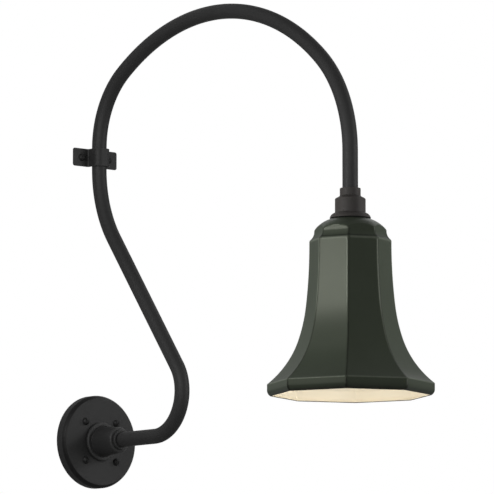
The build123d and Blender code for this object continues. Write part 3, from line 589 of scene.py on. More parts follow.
@dataclass(frozen=True)
class Finish:
    """A painted, metal, rubber, plastic or porcelain surface.

    Args:
        name: Name of the material.
        colour: Main colour, 0 to 255.
        second: Colour of its broad clouds.
        rubbed_and_highlight: Colour of its worn outer edges, and of painted highlight where the edge values
            carry it.
        dusty_and_shade: Colour in its hollows, and of painted shade where the edge values carry it.
        roughness: Middle roughness.
        rough_spread: Change of the roughness over the grain.
        metallic: 1 for bare metal.
        specular: Specular level.
        grain: Grain per metre.
        clouds: Clouds per metre.
        depth: Height of the grain in metres.
        coat: Weight of a clear glaze.
        sheen: Tint of its reflections, red, green and blue.
        evenness: How even its edges are, 1 for no patches.
    """

    name: str
    colour: Colour
    second: Colour
    rubbed_and_highlight: Colour
    dusty_and_shade: Colour
    roughness: float
    rough_spread: float = 0.08
    metallic: float = 0.0
    specular: float = 0.5
    grain: float = 900.0
    clouds: float = 14.0
    depth: float = 0.000012
    coat: float = 0.0
    sheen: tuple[float, float, float] = (1.0, 1.0, 1.0)
    evenness: float = 0.35

    def material(self) -> None:
        """Builds the material: clouds and edges set the colour, the grain sets roughness and bump."""
        made = bpy.data.materials.new(FINISHED + self.name)
        made.use_nodes = True
        sheet = Sheet(made.node_tree)
        groups = bpy.data.node_groups
        grain = sheet.add("ShaderNodeGroup", node_tree=groups["Surface grain"], Grain_Scale=self.grain,
                          Cloud_Scale=self.clouds)
        wear_and_light = sheet.add("ShaderNodeGroup", node_tree=groups["Edge wear"], Least_Share=self.evenness)
        cloud = sheet.spread(grain.outputs["Cloud"], NOISE_SPAN, 0.0, 1.0)
        colour = sheet.mix(cloud, linear(self.colour), linear(self.second))
        colour = sheet.mix(wear_and_light.outputs["Rubbed"], colour, linear(self.rubbed_and_highlight))
        colour = sheet.mix(wear_and_light.outputs["Dusty"], colour, linear(self.dusty_and_shade))
        rough = sheet.spread(grain.outputs["Grain"], NOISE_SPAN, self.roughness - self.rough_spread,
                             self.roughness + self.rough_spread)
        bump = sheet.add("ShaderNodeBump", Strength=BUMP, Distance=self.depth, Height=grain.outputs["Grain"])
        sheet.fill(made.node_tree.nodes["Principled BSDF"], Base_Color=colour, Roughness=rough,
                   Normal=bump.outputs["Normal"], Metallic=self.metallic, Specular_IOR_Level=self.specular,
                   Specular_Tint=(*self.sheen, 1.0), Coat_Weight=self.coat, Coat_Roughness=GLAZE_ROUGHNESS)


def greys(*levels: int) -> list[Colour]:
    """Plain greys from 0 to 255."""
    return [(level, level, level) for level in levels]


FINISHES = (
    Finish(GRAPHITE, *greys(45, 42, 57, 34), 0.56, specular=0.3),
    # Its hollow colour is the painted shade on the plate's bevel.
    Finish("plate_paint", *greys(45, 42, 57, 22), 0.5, specular=0.18, evenness=0.8),
    # Its edge colours are the painted highlight and painted shade of the slots.
    Finish("screw_black", *greys(30, 27, 40, 18), 0.5, specular=0.3),
    Finish("bronze_paint", (57, 54, 52), (53, 50, 48), (70, 67, 64), (42, 40, 38), 0.56, specular=0.27),
    # The shade's edge colours: a painted highlight and a painted shade.
    Finish("green_enamel", (54, 60, 50), (51, 57, 47), (120, 126, 114), (20, 23, 18), 0.34,
           rough_spread=0.008, specular=0.3, grain=300.0, depth=0.000006, sheen=(0.96, 1.0, 0.84),
           evenness=0.8),
    Finish("cream_enamel", (244, 236, 218), (241, 232, 212), (247, 240, 226), (234, 222, 200), 0.45,
           rough_spread=0.05, specular=0.3, grain=300.0, depth=0.000008),
    Finish("zinc_steel", (176, 178, 180), (158, 161, 165), (200, 201, 203), (120, 121, 122), 0.36,
           metallic=1.0, grain=1400.0, clouds=60.0, depth=0.00002),
    Finish("socket_steel", (168, 168, 166), (150, 150, 148), (195, 195, 193), (110, 110, 108), 0.32,
           metallic=1.0, grain=1600.0, clouds=50.0, depth=0.00002),
    Finish("brass", (205, 168, 98), (188, 150, 84), (226, 194, 128), (128, 100, 56), 0.28, metallic=1.0,
           grain=1600.0, clouds=70.0, depth=0.00002),
    Finish("porcelain", (236, 234, 227), (229, 226, 217), (242, 240, 234), (212, 208, 198), 0.34,
           rough_spread=0.05, grain=700.0, clouds=40.0, coat=0.6),
    Finish("black_rubber", (33, 33, 34), (38, 38, 39), (50, 50, 51), (27, 27, 28), 0.78, specular=0.25,
           grain=1800.0, depth=0.00006),
    Finish("ground_paint", (58, 112, 66), (50, 102, 58), (92, 140, 96), (38, 78, 45), 0.4, grain=1200.0),
    Finish("black_lead", (30, 30, 32), (36, 36, 38), (44, 44, 46), (24, 24, 26), 0.5, grain=1500.0,
           clouds=120.0),
    Finish("white_lead", (222, 220, 213), (212, 209, 200), (230, 228, 222), (190, 187, 178), 0.5,
           grain=1500.0, clouds=120.0),
    Finish("green_lead", (52, 120, 70), (45, 108, 62), (70, 138, 88), (36, 86, 50), 0.5, grain=1500.0,
           clouds=120.0),
    Finish("connector_plastic", (206, 152, 52), (196, 142, 46), (222, 174, 82), (160, 114, 36), 0.42,
           grain=1300.0),
)

# CAD nodes that stay, by finish
NODES_OF_FINISH = {
    "zinc_steel": ("box_bracket", "hub_locknut", "hub_set_screw", "cap_set_screw", "shade_ring_nut",
                   "socket_stem", "stem_nut", "holder_screws"),
    "socket_steel": ("socket_cap",),
    "brass": ("terminal_screws", "contact_rivet", "centre_contact"),
    "porcelain": ("lamp_holder",),
    "black_rubber": ("wall_gasket", "cap_gasket"),
    "ground_paint": ("ground_screw",),
    "black_lead": ("line_lead",),
    "white_lead": ("neutral_lead",),
    "green_lead": ("ground_lead",),
    "connector_plastic": ("lead_connectors",),
}


def finish(name: str) -> bpy.types.Material:
    """The finished material of that name."""
    return bpy.data.materials[FINISHED + name]


# Sub-assemblies


@dataclass
class RoundHeadScrew:
    """Slotted round-head screw with a thread, drawn along its own axis from under the head."""

    head_radius: float = 5.2
    head_height: float = 4.4
    slot_width: float = 1.0
    slot_depth: float = 1.8
    slot_lips: tuple[float, float] = (0.015, 0.05)  # from the slot to two rows of points beside it
    highlight_lip: float = 0.04    # width of the painted highlight beside the slot
    rubbed_and_highlight: float = 0.7         # edge value beside the slot: painted highlight
    dusty_and_shade: float = -0.8         # edge value in the slot: painted shade
    head_chords: int = 14
    chord_points: int = 41
    neck_radius: float = 2.4
    neck_length: float = 3.0
    neck_sink: float = 0.01     # how far the neck reaches into the head
    thread_radius: float = 2.4
    thread_depth: float = 0.4
    pitch: float = 0.9
    pitch_points: int = 6
    tip_pitches: float = 1.4
    tip_share: float = 0.45     # radius at the tip over that of the thread
    length: float = 13.0
    segments: int = 28

    def head(self) -> Skin:
        """Dome cut by a slot.

        Points lie on chords across the head, x = u sqrt(R^2 - y^2), at the height of the ball
        sqrt(B^2 - x^2 - y^2) - B + H. In the slot the height is at most H less the slot's depth.
        The lower half of the grid is the flat underside.

        Returns:
            A closed skin.
        """
        r, h, half = self.head_radius, self.head_height, self.slot_width / 2
        ball = (r * r + h * h) / (2 * h)
        rim = r * np.sin(np.linspace(0.0, np.pi / 2, self.head_chords))
        lips = half + np.array([0.0, *self.slot_lips])
        side = np.concatenate([lips, rim[rim > lips[-1]]])
        y = np.concatenate([-side[::-1], [-half, half], side])[:, None]
        inside = np.repeat([False, True, False], [len(side), 2, len(side)])[:, None]
        u = np.sin(np.linspace(-np.pi / 2, np.pi / 2, self.chord_points))
        x = u * np.sqrt(np.maximum(r * r - y ** 2, 0.0))
        y = np.broadcast_to(y, x.shape)
        dome = np.sqrt(np.maximum(ball ** 2 - x ** 2 - y ** 2, 0.0)) - ball + h
        top = np.where(inside, np.minimum(dome, h - self.slot_depth), dome)
        # Painted highlight beside the slot and painted shade in it.
        edge = np.where(np.abs(y) < half + self.highlight_lip, self.rubbed_and_highlight, 0.0)
        edge = np.where(inside, self.dusty_and_shade, edge)
        upper = np.stack([x, y, np.maximum(top, 0.0)], axis=-1)
        under = np.stack([x, y, np.zeros_like(x)], axis=-1)[::-1]
        edges = np.concatenate([edge, np.zeros_like(edge)])
        return Skin(np.concatenate([upper, under]), edges, columns_closed=False)

    def shank(self) -> Skin:
        """Neck and thread with a closed tip.

        The thread's radius is R - depth |2 frac(z / pitch - p / 2 pi) - 1| at z below the neck.

        Returns:
            A closed skin.
        """
        p = ring(self.segments)
        run = self.length - self.neck_length
        z = np.linspace(0.0, run, int(run / self.pitch * self.pitch_points))[:, None]
        phase = (z / self.pitch - p / (2 * np.pi)) % 1.0
        tip = np.clip((run - z) / (self.tip_pitches * self.pitch), self.tip_share, 1.0)
        start = np.clip(z / self.pitch, 0.0, 1.0)
        thread = (self.thread_radius - self.thread_depth * start * np.abs(2 * phase - 1)) * tip
        end = np.zeros((1, len(p)))
        neck = end + self.neck_radius
        radius = np.concatenate([end, neck, neck, thread, end])
        height = np.concatenate([[self.neck_sink] * 2, [-self.neck_length], -self.neck_length - z[:, 0],
                                 [-self.length]])
        places = (radius * np.cos(p), radius * np.sin(p), height[:, None])
        points = np.stack(np.broadcast_arrays(*places), axis=-1)
        return Skin(points, np.zeros(radius.shape), rows_closed=False)

    def placed(self, across: float, up: float, out: float, turn: float) -> list[Skin]:
        """Head and shank out of the wall at a place.

        Args:
            across: Place along the wall.
            up: Height.
            out: Distance of the head's underside from the wall.
            turn: Turn of the slot in degrees.

        Returns:
            The two skins.
        """
        c, s = math.cos(math.radians(turn)), math.sin(math.radians(turn))
        skins = [self.head(), self.shank()]
        for skin in skins:
            x, y, z = np.moveaxis(skin.points, -1, 0)
            skin.points = np.stack([across + c * x - s * y, -out - z, up + s * x + c * y], axis=-1)
        return skins


@dataclass
class WallPlate:
    """Round plate, its four screws, and the hub and collar that hold the arm."""

    radius: float = 63.5
    depth: float = 17.4
    back: float = 14.4
    foot: float = 0.2           # wall to the plate's rim
    bevel_width: float = 4.25
    bevel_depth: float = 6.0
    bevel_bulge: float = 0.6
    bevel_margin: float = 0.3   # at both sides of the bevel's painted shade
    bevel_shade: float = -0.9    # edge value on the bevel: painted shade
    cavity_radius: float = 55.0
    gasket_radius: float = 60.5
    gasket_depth: float = 2.0
    plate_segments: int = 144
    screw_circle: float = 37.5
    screw_angles: tuple[float, ...] = (45.0, 135.0, 225.0, 315.0)
    wire_bore: float = 7.5
    shank_radius: float = 12.5
    shank_back: float = 9.4
    bead_radius: float = 26.4
    bead_height: float = 5.2
    bead_foot: tuple[float, float] = (1.0, 0.8)     # width and height of its undercut
    groove: tuple[float, float] = (1.6, 0.5)        # its outer edge and its floor, out from the barrel
    groove_depth: float = 0.9
    barrel_radius: float = 20.2
    barrel_start: tuple[float, float] = (-0.1, 0.4)     # from the barrel's radius and the bead's top
    end_radius: float = 17.3
    hub_end: float = 59.9
    collar_radius: float = 13.625
    collar_back: float = 53.9
    collar_end: float = 64.4
    set_screw_out: float = 44.9
    set_screw_gap: float = 0.5  # how far its hole starts inside the tube's surface
    screw: RoundHeadScrew = field(default_factory=RoundHeadScrew)

    def build(self) -> None:
        """Makes the plate, its screws, the hub and the collar."""
        hole = Hole((TUBE_RADIUS - self.set_screw_gap, -self.set_screw_out, 0.0),
                    (self.bead_radius, -self.set_screw_out, 0.0))
        piece("wall_plate", [self.plate()], ["plate_paint"], Body.ARM)
        piece("arm_hub", [self.hub()], [GRAPHITE], Body.ARM, holes=(hole,))
        piece("hub_collar", [self.collar()], [GRAPHITE], Body.ARM)
        skins = []
        for angle in self.screw_angles:
            across = self.screw_circle * math.cos(math.radians(angle))
            up = self.screw_circle * math.sin(math.radians(angle))
            skins += self.screw.placed(across, up, self.depth, angle)
        piece("plate_screws", skins, ["screw_black"], Body.ARM)

    def plate(self) -> Skin:
        """Plate: flat face, swelling bevel, straight side and hollow back, turned about the wall axis.

        Returns:
            A closed skin.
        """
        face = self.radius - self.bevel_width
        low = self.depth - self.bevel_depth
        hole = self.shank_radius + FIT
        outline, edge = rounded([
            (hole, self.back, 0.0), (hole, self.depth, 0.0), (face, self.depth, 0.9),
            *arc_between((face, self.depth), (self.radius, low), self.bevel_bulge, 6),
            (self.radius, low, 0.8), (self.radius, self.foot, 0.5), (self.gasket_radius, self.foot, 0.3),
            (self.gasket_radius, self.gasket_depth, 0.0), (self.cavity_radius, self.gasket_depth, 0.3),
            (self.cavity_radius, self.back, 1.0),
        ])
        # The bevel gets painted shade.
        bevel = (outline[:, 0] > face + self.bevel_margin) & (outline[:, 1] > low + self.bevel_margin)
        return lathe(outline, np.where(bevel, self.bevel_shade, edge), Spin.WALL, self.plate_segments)

    def hub(self) -> Skin:
        """Hub: shank, round bead, groove, tapered barrel and stepped mouth, turned about the wall axis.

        Returns:
            A closed skin.
        """
        top = self.depth + self.bead_height
        mouth, bore = self.collar_radius + FIT, TUBE_RADIUS + FIT
        undercut, lift = self.bead_foot
        outer, inner = self.groove
        inset, rise = self.barrel_start
        return lathe(*rounded([
            (self.wire_bore, self.shank_back, 0.0), (self.shank_radius, self.shank_back, 0.4),
            (self.shank_radius, self.depth, 0.0), (self.bead_radius - undercut, self.depth, 0.0),
            (self.bead_radius, self.depth + lift, 0.9), (self.bead_radius, top, 2.4),
            (self.barrel_radius + outer, top, 0.5),
            (self.barrel_radius + inner, top - self.groove_depth, 0.35),
            (self.barrel_radius + inset, top + rise, 0.4), (self.end_radius, self.hub_end, 3.0),
            (mouth, self.hub_end, 0.3), (mouth, self.collar_back, 0.0), (bore, self.collar_back, 0.0),
            (bore, TUBE_START, 0.0), (self.wire_bore, TUBE_START, 0.0),
        ]), Spin.WALL)

    def collar(self) -> Skin:
        """Ring in the hub's mouth with rounded outer ends, turned about the wall axis.

        Returns:
            A closed skin.
        """
        bore = TUBE_RADIUS + FIT
        return lathe(*rounded([
            (bore, self.collar_back, 0.0), (self.collar_radius, self.collar_back, 0.3),
            (self.collar_radius, self.collar_end, 1.1), (bore, self.collar_end, 0.7),
        ]), Spin.WALL)


@dataclass
class Gooseneck:
    """The bent tube from the hub to the shade, and the strap that holds it to the wall.

    A bend of the tube is its radius, its turn in degrees and the longest chord of its points.
    """

    bore: float = 7.875
    segments: int = 48
    run_chord: float = 12.0
    hub_run_end: float = 134.03
    lower_bend: tuple[float, float, float] = (58.0, 126.4, 2.5)
    lower_run: float = 230.09
    strap_bend: tuple[float, float, float] = (170.0, -36.4, 3.0)
    strap_run: float = 29.0
    rise: tuple[float, float, float] = (118.0, -55.6, 2.5)
    arch: tuple[float, float, float] = (332.73, -77.4, 4.0)
    drop: tuple[float, float, float] = (176.6, -47.0, 3.0)
    drop_run: float = 74.0
    strap_height: float = 393.0
    strap_axis_out: float = 11.0
    strap_half: float = 38.0
    strap_width: float = 25.0
    strap_thickness: float = 2.0
    edge_round: float = 0.7
    ear_round: float = 3.0
    ear_chords: tuple[float, float] = (0.3, 4.0)    # longest chords at an ear's round end and along it
    foot_round: float = 2.0
    bend_round: float = 8.5
    bend_chord: float = 0.6
    leg_chord: float = 3.0
    end_share: float = 0.72     # thickness at an ear's rounded end over the strap's
    screw_across: float = 23.425
    screw: RoundHeadScrew = field(default_factory=lambda: RoundHeadScrew(
        neck_radius=2.3, neck_length=2.0, thread_radius=2.1, thread_depth=0.55, pitch=1.8, length=16.0))

    def build(self) -> None:
        """Makes the tube, the strap and the strap's screws."""
        piece("gooseneck_arm", [self.tube()], [GRAPHITE], Body.ARM)
        piece("wall_strap", [self.strap()], [GRAPHITE], Body.ARM)
        skins = []
        for side in (-1, 1):
            across = side * self.screw_across
            skins += self.screw.placed(across, self.strap_height, self.strap_thickness, 0.0)
        piece("strap_screws", skins, ["screw_black"], Body.ARM)

    def tube(self) -> Skin:
        """Ring section carried along the arm's line, outside there and inside back.

        A point is the line plus R (cos p across the bend + sin p along the wall).

        Returns:
            A closed skin.
        """
        chord = self.run_chord
        pen = Pen((TUBE_START, 0.0), 0.0).straight(self.hub_run_end - TUBE_START, chord)
        pen.bend(*self.lower_bend).straight(self.lower_run, chord)
        pen.bend(*self.strap_bend).straight(self.strap_run, chord)
        pen.bend(*self.rise).bend(*self.arch).bend(*self.drop).straight(self.drop_run, chord)
        line = np.concatenate([pen.points, pen.points[::-1]])
        heading = np.concatenate([pen.headings, pen.headings[::-1]])[:, None]
        radius = np.repeat([TUBE_RADIUS, self.bore], len(pen.points))[:, None]
        p = ring(self.segments)
        out = line[:, :1] - radius * np.cos(p) * np.sin(heading)
        up = line[:, 1:] + radius * np.cos(p) * np.cos(heading)
        return Skin(np.stack([radius * np.sin(p), -out, up], axis=-1), np.zeros(out.shape))

    def strap(self) -> Skin:
        """Flat rounded section carried squarely over the tube from ear to ear.

        The section's width follows the ears' round corners: half width w - c + sqrt(c^2 - (c - d)^2)
        at d from an end, for d up to the corner radius c.

        Returns:
            A closed skin.
        """
        half, wide = self.strap_thickness / 2, self.strap_width / 2
        c, lip = self.ear_round, self.edge_round
        middle = TUBE_RADIUS + FIT + half
        foot, turn = self.foot_round + half, self.bend_round - half
        ear = self.strap_half - c - middle - foot
        leg = self.strap_axis_out + middle - half - foot - turn
        end_chord, ear_chord = self.ear_chords
        bend, straight = self.bend_chord, self.leg_chord
        pen = Pen((-self.strap_half, -half), 0.0).straight(c, end_chord).straight(ear, ear_chord)
        pen.bend(foot, -90.0, bend).straight(leg, straight).bend(turn, 90.0, bend)
        pen.straight(2 * (middle - turn), straight)
        pen.bend(turn, 90.0, bend).straight(leg, straight).bend(foot, -90.0, bend)
        pen.straight(ear, ear_chord).straight(c, end_chord)
        run = np.insert(np.cumsum(np.linalg.norm(np.diff(pen.points, axis=0), axis=1)), 0, 0.0)
        gap = np.minimum(np.minimum(run, run[-1] - run), c)
        reach = wide - c + np.sqrt(c * c - (c - gap) ** 2)
        corners = [(-wide, -half, lip), (wide, -half, lip), (wide, half, lip), (-wide, half, lip)]
        section, edge = rounded(corners, 4)
        inner = np.sign(section[:, 0]) * np.minimum(np.abs(section[:, 0]), wide - lip)
        row = np.pad(np.arange(len(run)), 1, mode="edge")
        width = inner * ((reach - lip) / (wide - lip))[row, None] + (section[:, 0] - inner)
        share = np.ones((len(row), 1))
        share[[0, -1]], share[[1, -2]] = 0.0, self.end_share
        thick = share * section[:, 1]
        line, heading = pen.points[row], pen.headings[row, None]
        x = line[:, :1] - thick * np.sin(heading)
        y = line[:, 1:] + thick * np.cos(heading)
        points = np.stack([x, y, self.strap_height + width], axis=-1)
        return Skin(points, np.broadcast_to(edge, width.shape), rows_closed=False)


@dataclass
class BellShade:
    """Turned cap and octagonal bell that hang from the arm's end."""

    cap_top: float = 295.51
    cap_bore: float = 10.21
    cap_ledge: float = 270.81
    cap_segments: int = 128
    set_screw_height: float = 290.8
    set_screw_gap: float = 0.5  # how far its hole starts inside the bore's surface
    collar_radius: float = 13.51
    slope_top: float = 285.244
    slope_foot: float = 281.583
    barrel_radius: float = 19.85
    skirt_top: float = 263.24
    skirt_foot: float = 256.24
    skirt_radius: float = 26.746
    skirt_bulge: float = 1.5
    skirt_lip: float = 0.9
    seat: float = 257.04
    seat_radius: float = 23.056
    spigot_radius: float = 17.556
    spigot_bore: float = 15.056
    spigot_foot: float = 248.24
    top: float = 255.44
    wall: float = 1.2
    sharp: float = 50.0         # degrees past which an edge stays sharp
    crown_radius: float = 24.296
    crown_inset: float = 0.2    # from the crown's radius, inside
    crown_rows: int = 5
    dome_radius: float = 42.0
    dome_start: float = 15.0
    drum_overhang: float = 19.17
    drum_drop: float = 16.5
    drum_radius: float = 18.0
    drum_lean: float = 3.0
    cove_width: float = 5.83
    cove_height: float = 13.25
    brow_radius: float = 3.5
    body_run: float = 2.9
    flares: tuple[tuple[float, float], ...] = ((757.0, 6.1), (226.0, 11.2), (123.3, 32.1))
    band_height: float = 8.0
    band_round: float = 1.5
    curl_width: float = 4.0
    curl_height: float = 7.4
    lip_chords: int = 6
    corner_round: float = 4.0
    corner_steps: tuple[float, ...] = (0.0, 0.25, 0.5, 0.8, 1.2, 2.0, 4.0, 8.0, 13.0, 18.0)
    crease_blend: float = 0.6
    # Edge values, and where they lie: painted shade where the dome meets the octagon, on the rim, under the
    # brow and beside the corners, and painted highlight on outer bends and beside the corners at the neck
    crease_shade_depth: float = 0.5
    rim_shade: float = 0.9
    rim_shade_fade: float = 0.7
    crest_highlight_limit: float = 0.45
    brow_shade: float = 0.8
    brow_shade_width: float = 1.1
    corner_line_share: float = 0.8
    highlight_line_at: float = -1.0
    shade_line_at: float = 0.9
    highlight_foot: float = 105.0    # the painted highlight beside each corner fades in over this height
    highlight_blend: float = 45.0

    @property
    def drum_foot(self) -> float:
        """Height of the drum's lower end."""
        return self.top - self.drum_drop

    @property
    def brow(self) -> float:
        """Height of the cove's lower end."""
        return self.drum_foot - self.cove_height

    def build(self) -> None:
        """Makes the cap and the shade."""
        hole = Hole((0.0, self.cap_bore - self.set_screw_gap - SHADE_OUT, self.set_screw_height),
                    (0.0, self.barrel_radius - SHADE_OUT, self.set_screw_height))
        piece("shade_cap", [self.cap()], ["bronze_paint"], Body.SHADE, holes=(hole,))
        paints = ["green_enamel", "cream_enamel"]
        piece("shade", [self.shade()], paints, Body.SHADE, self.sharp)

    def cap(self) -> Skin:
        """Cap: collar, sloped shoulder, barrel, swelling skirt, seat and spigot, turned upright.

        Returns:
            A closed skin.
        """
        skirt_start = (self.barrel_radius, self.skirt_top)
        skirt_end = (self.skirt_radius, self.skirt_foot)
        return lathe(*rounded([
            (self.cap_bore, self.cap_top, 0.4), (self.collar_radius, self.cap_top, 1.0),
            (self.collar_radius, self.slope_top, 1.5), (self.barrel_radius, self.slope_foot, 2.0),
            (*skirt_start, 0.45), *arc_between(skirt_start, skirt_end, self.skirt_bulge, 9),
            (*skirt_end, 0.3), (self.skirt_radius - self.skirt_lip, self.skirt_foot, 0.2),
            (self.seat_radius, self.seat, 0.0), (self.spigot_radius, self.seat, 0.0),
            (self.spigot_radius, self.spigot_foot, 0.4), (self.spigot_bore, self.spigot_foot, 0.4),
            (self.spigot_bore, self.cap_ledge, 0.0), (self.cap_bore, self.cap_ledge, 0.0),
        ]), Spin.SHADE, self.cap_segments)

    def facet_line(self) -> Pen:
        """Line down the middle of a facet: drum, cove, brow, body, three flare arcs, rim band and rim curl.

        The last number of each stroke is its longest chord.

        Returns:
            The pen that drew it.
        """
        lean = math.radians(self.drum_lean)
        rise = self.drum_drop - self.drum_radius * math.sin(lean)
        foot = self.crown_radius + self.drum_overhang
        start = foot - self.drum_radius * (1 - math.cos(lean)) - rise * math.tan(lean)
        pen = Pen((start, self.top), self.drum_lean - 90.0).straight(rise / math.cos(lean), 0.26)
        cove = math.degrees(2 * math.atan(self.cove_width / self.cove_height))
        cove_radius = self.cove_height / math.sin(math.radians(cove)) - self.brow_radius
        pen.bend(self.drum_radius, -self.drum_lean, 0.5).bend(cove_radius, cove, 0.6)
        pen.bend(self.brow_radius, -cove, 0.4).straight(self.body_run, 3.0)
        for radius, turn in self.flares[:-1]:
            pen.bend(radius, turn, 4.0)
        turned = sum(turn for _, turn in self.flares)
        cut = self.band_round * math.tan(math.radians(turned / 2))
        radius, turn = self.flares[-1]
        spare = math.degrees(cut / radius)
        pen.bend(radius, turn - spare, 2.5).bend(self.band_round, spare - turned, 0.25)
        curl = math.degrees(2 * math.atan(self.curl_width / self.curl_height))
        curl_radius = (self.curl_width ** 2 + self.curl_height ** 2) / (2 * self.curl_width)
        return pen.straight(self.band_height - cut, 2.0).bend(curl_radius, -curl, 0.8)

    def dome(self, z: Array, inset: Array) -> Array:
        """Radius of the turned dome: centre + sqrt(R^2 - rise^2), and no limit below the drum's foot.

        Args:
            z: Height of each row.
            inset: How far each row lies inside the outer surface.

        Returns:
            The radius at each row.
        """
        start = math.radians(self.dome_start)
        centre = self.crown_radius - self.dome_radius * math.sin(start)
        rise = z - (self.top - self.dome_radius * math.cos(start))
        radius = centre + np.sqrt(np.maximum((self.dome_radius - inset) ** 2 - rise ** 2, 0.0))
        return np.where(z < self.drum_foot - inset, NO_LIMIT, radius)

    def octagon(self, apothem: Array, angle: Array) -> Array:
        """Radius of an octagon with round corners.

        On the flat it is a / cos d at d from the middle of the side. Near a corner it is the far side of a
        circle of radius q centred at c = (a - q) / cos 22.5: c cos e + sqrt(q^2 - c^2 sin^2 e) at e from it.

        Args:
            apothem: Axis to the middle of a side, for each row.
            angle: Direction of each column, with a corner at 0.

        Returns:
            Radii as rows by columns.
        """
        a, q, half = apothem[:, None], self.corner_round, SIDE_ANGLE / 2
        d = np.abs(angle % SIDE_ANGLE - half)
        c = (a - q) / math.cos(half)
        e = half - d
        corner = c * np.cos(e) + np.sqrt(np.maximum(q * q - (c * np.sin(e)) ** 2, 0.0))
        return np.where(d > np.arctan((a - q) / a * math.tan(half)), corner, a / np.cos(d))

    def rows(self, pen: Pen) -> tuple[Array, Array, Array, Array]:
        """Rows of the bell: outside down from the crown's hole, round the lip, and inside up again.

        The lip is half a circle from the line's end, and the inside lies a wall's thickness from the line.

        Args:
            pen: The facet's line.

        Returns:
            Each row's apothem, turned radius, height, and depth under the outer surface.
        """
        line, heading = pen.points, pen.headings
        inward = np.stack([np.sin(heading), -np.cos(heading)], axis=1)
        ahead = np.array([math.cos(heading[-1]), math.sin(heading[-1])])
        t = np.linspace(0.0, np.pi, self.lip_chords + 1)[1:-1, None]
        lip = line[-1] + self.wall / 2 * (np.sin(t) * ahead + (1 - np.cos(t)) * inward[-1])
        back = (line + self.wall * inward)[::-1]
        high = back[:, 1] >= self.drum_foot
        ceiling = self.top - self.wall
        back = np.minimum(np.concatenate([back[~high][::2], back[high][::2]]), [NO_LIMIT, ceiling])
        hole = self.spigot_radius + FIT
        crown = np.linspace(hole, self.crown_radius, self.crown_rows)[:-1]
        under = np.linspace(self.crown_radius - self.crown_inset, hole, self.crown_rows)
        flat_top = np.tile([NO_LIMIT, self.top], (len(crown), 1))
        flat_ceiling = np.tile([NO_LIMIT, ceiling], (len(under), 1))
        apothem, z = np.concatenate([flat_top, line, lip, back, flat_ceiling]).T
        outside = len(crown) + len(line) + len(lip) - 1
        inset = np.where(np.arange(len(z)) < outside, 0.0, self.wall)
        turned = self.dome(z, inset)
        turned[:len(crown)] = crown
        turned[-len(under):] = under
        return apothem, turned, z, inset

    def row_edges(self, pen: Pen) -> Array:
        """Edge value at each point of the facet's line.

        The rim gets painted shade that deepens downwards, by dark ((height / rim height)^fade - 1). Over it,
        outer bends get a painted highlight and the brow a line of painted shade, -dark exp(-(distance /
        width)^2).

        Args:
            pen: The facet's line.

        Returns:
            The edge values.
        """
        z = pen.points[:, 1]
        rim, over = self.curl_height + self.band_height, z - z[-1]
        low = self.rim_shade * (np.clip(over / rim, 0.0, 1.0) ** self.rim_shade_fade - 1.0)
        hollow = -self.brow_shade * np.exp(-((z - self.brow - self.brow_radius) / self.brow_shade_width) ** 2)
        high = np.minimum(pen.crest(), self.crest_highlight_limit) + hollow
        return np.where(over < rim - self.band_round, low, high)

    def shade(self) -> Skin:
        """Octagonal bell under a turned dome.

        Each point's radius is the smaller of the dome's and the octagon's at its height, blended where they
        meet: mix - k h (1 - h) with h = 0.5 + 0.5 (octagon - dome) / k. Beside each corner lie a line of
        painted shade and, at the neck, a line of painted highlight: share exp(-(distance from the line)^2).

        Returns:
            A closed skin, with the second finish inside.
        """
        pen = self.facet_line()
        apothem, turned, z, inset = self.rows(pen)
        step = np.radians(self.corner_steps)
        half = SIDE_ANGLE / 2
        side = np.concatenate([step, [half], SIDE_ANGLE - step[:0:-1]])
        angle = (np.arange(SIDES)[:, None] * SIDE_ANGLE + side).reshape(-1)
        sides = self.octagon(apothem, angle)
        k, turned = self.crease_blend, turned[:, None]
        h = np.clip(0.5 + 0.5 * (sides - turned) / k, 0.0, 1.0)
        radius = sides * (1 - h) + turned * h - k * h * (1 - h)
        outer = (inset == 0.0)[:, None]
        crown = self.crown_rows - 1
        # The lip gets painted shade, a dark line along the rim's lower edge.
        lip = np.full(self.lip_chords - 1, -self.rim_shade)
        rows = np.concatenate([np.zeros(crown), self.row_edges(pen), lip])
        rows = np.pad(rows, (0, len(z) - len(rows)))
        past = radius * ((angle + half) % SIDE_ANGLE - half)
        neck = (np.clip((z - self.highlight_foot) / self.highlight_blend, 0.0, 1.0) * (z < self.brow))[:, None]
        # Painted highlight beside each corner at the neck, and a line of painted shade on its other side.
        light = neck * np.exp(-(past - self.highlight_line_at) ** 2)
        corner_lines = self.corner_line_share * (light - np.exp(-(past - self.shade_line_at) ** 2))
        # Painted shade along the blend where the dome meets the octagon.
        crease_shade = self.crease_shade_depth * 4 * h * (1 - h)
        edge = rows[:, None] + outer * (corner_lines * (sides < turned - k) - crease_shade)
        points = upright(radius, angle, z[:, None])
        return Skin(points, np.clip(edge, -1.0, 1.0), finish=(inset > 0.0).astype(int))


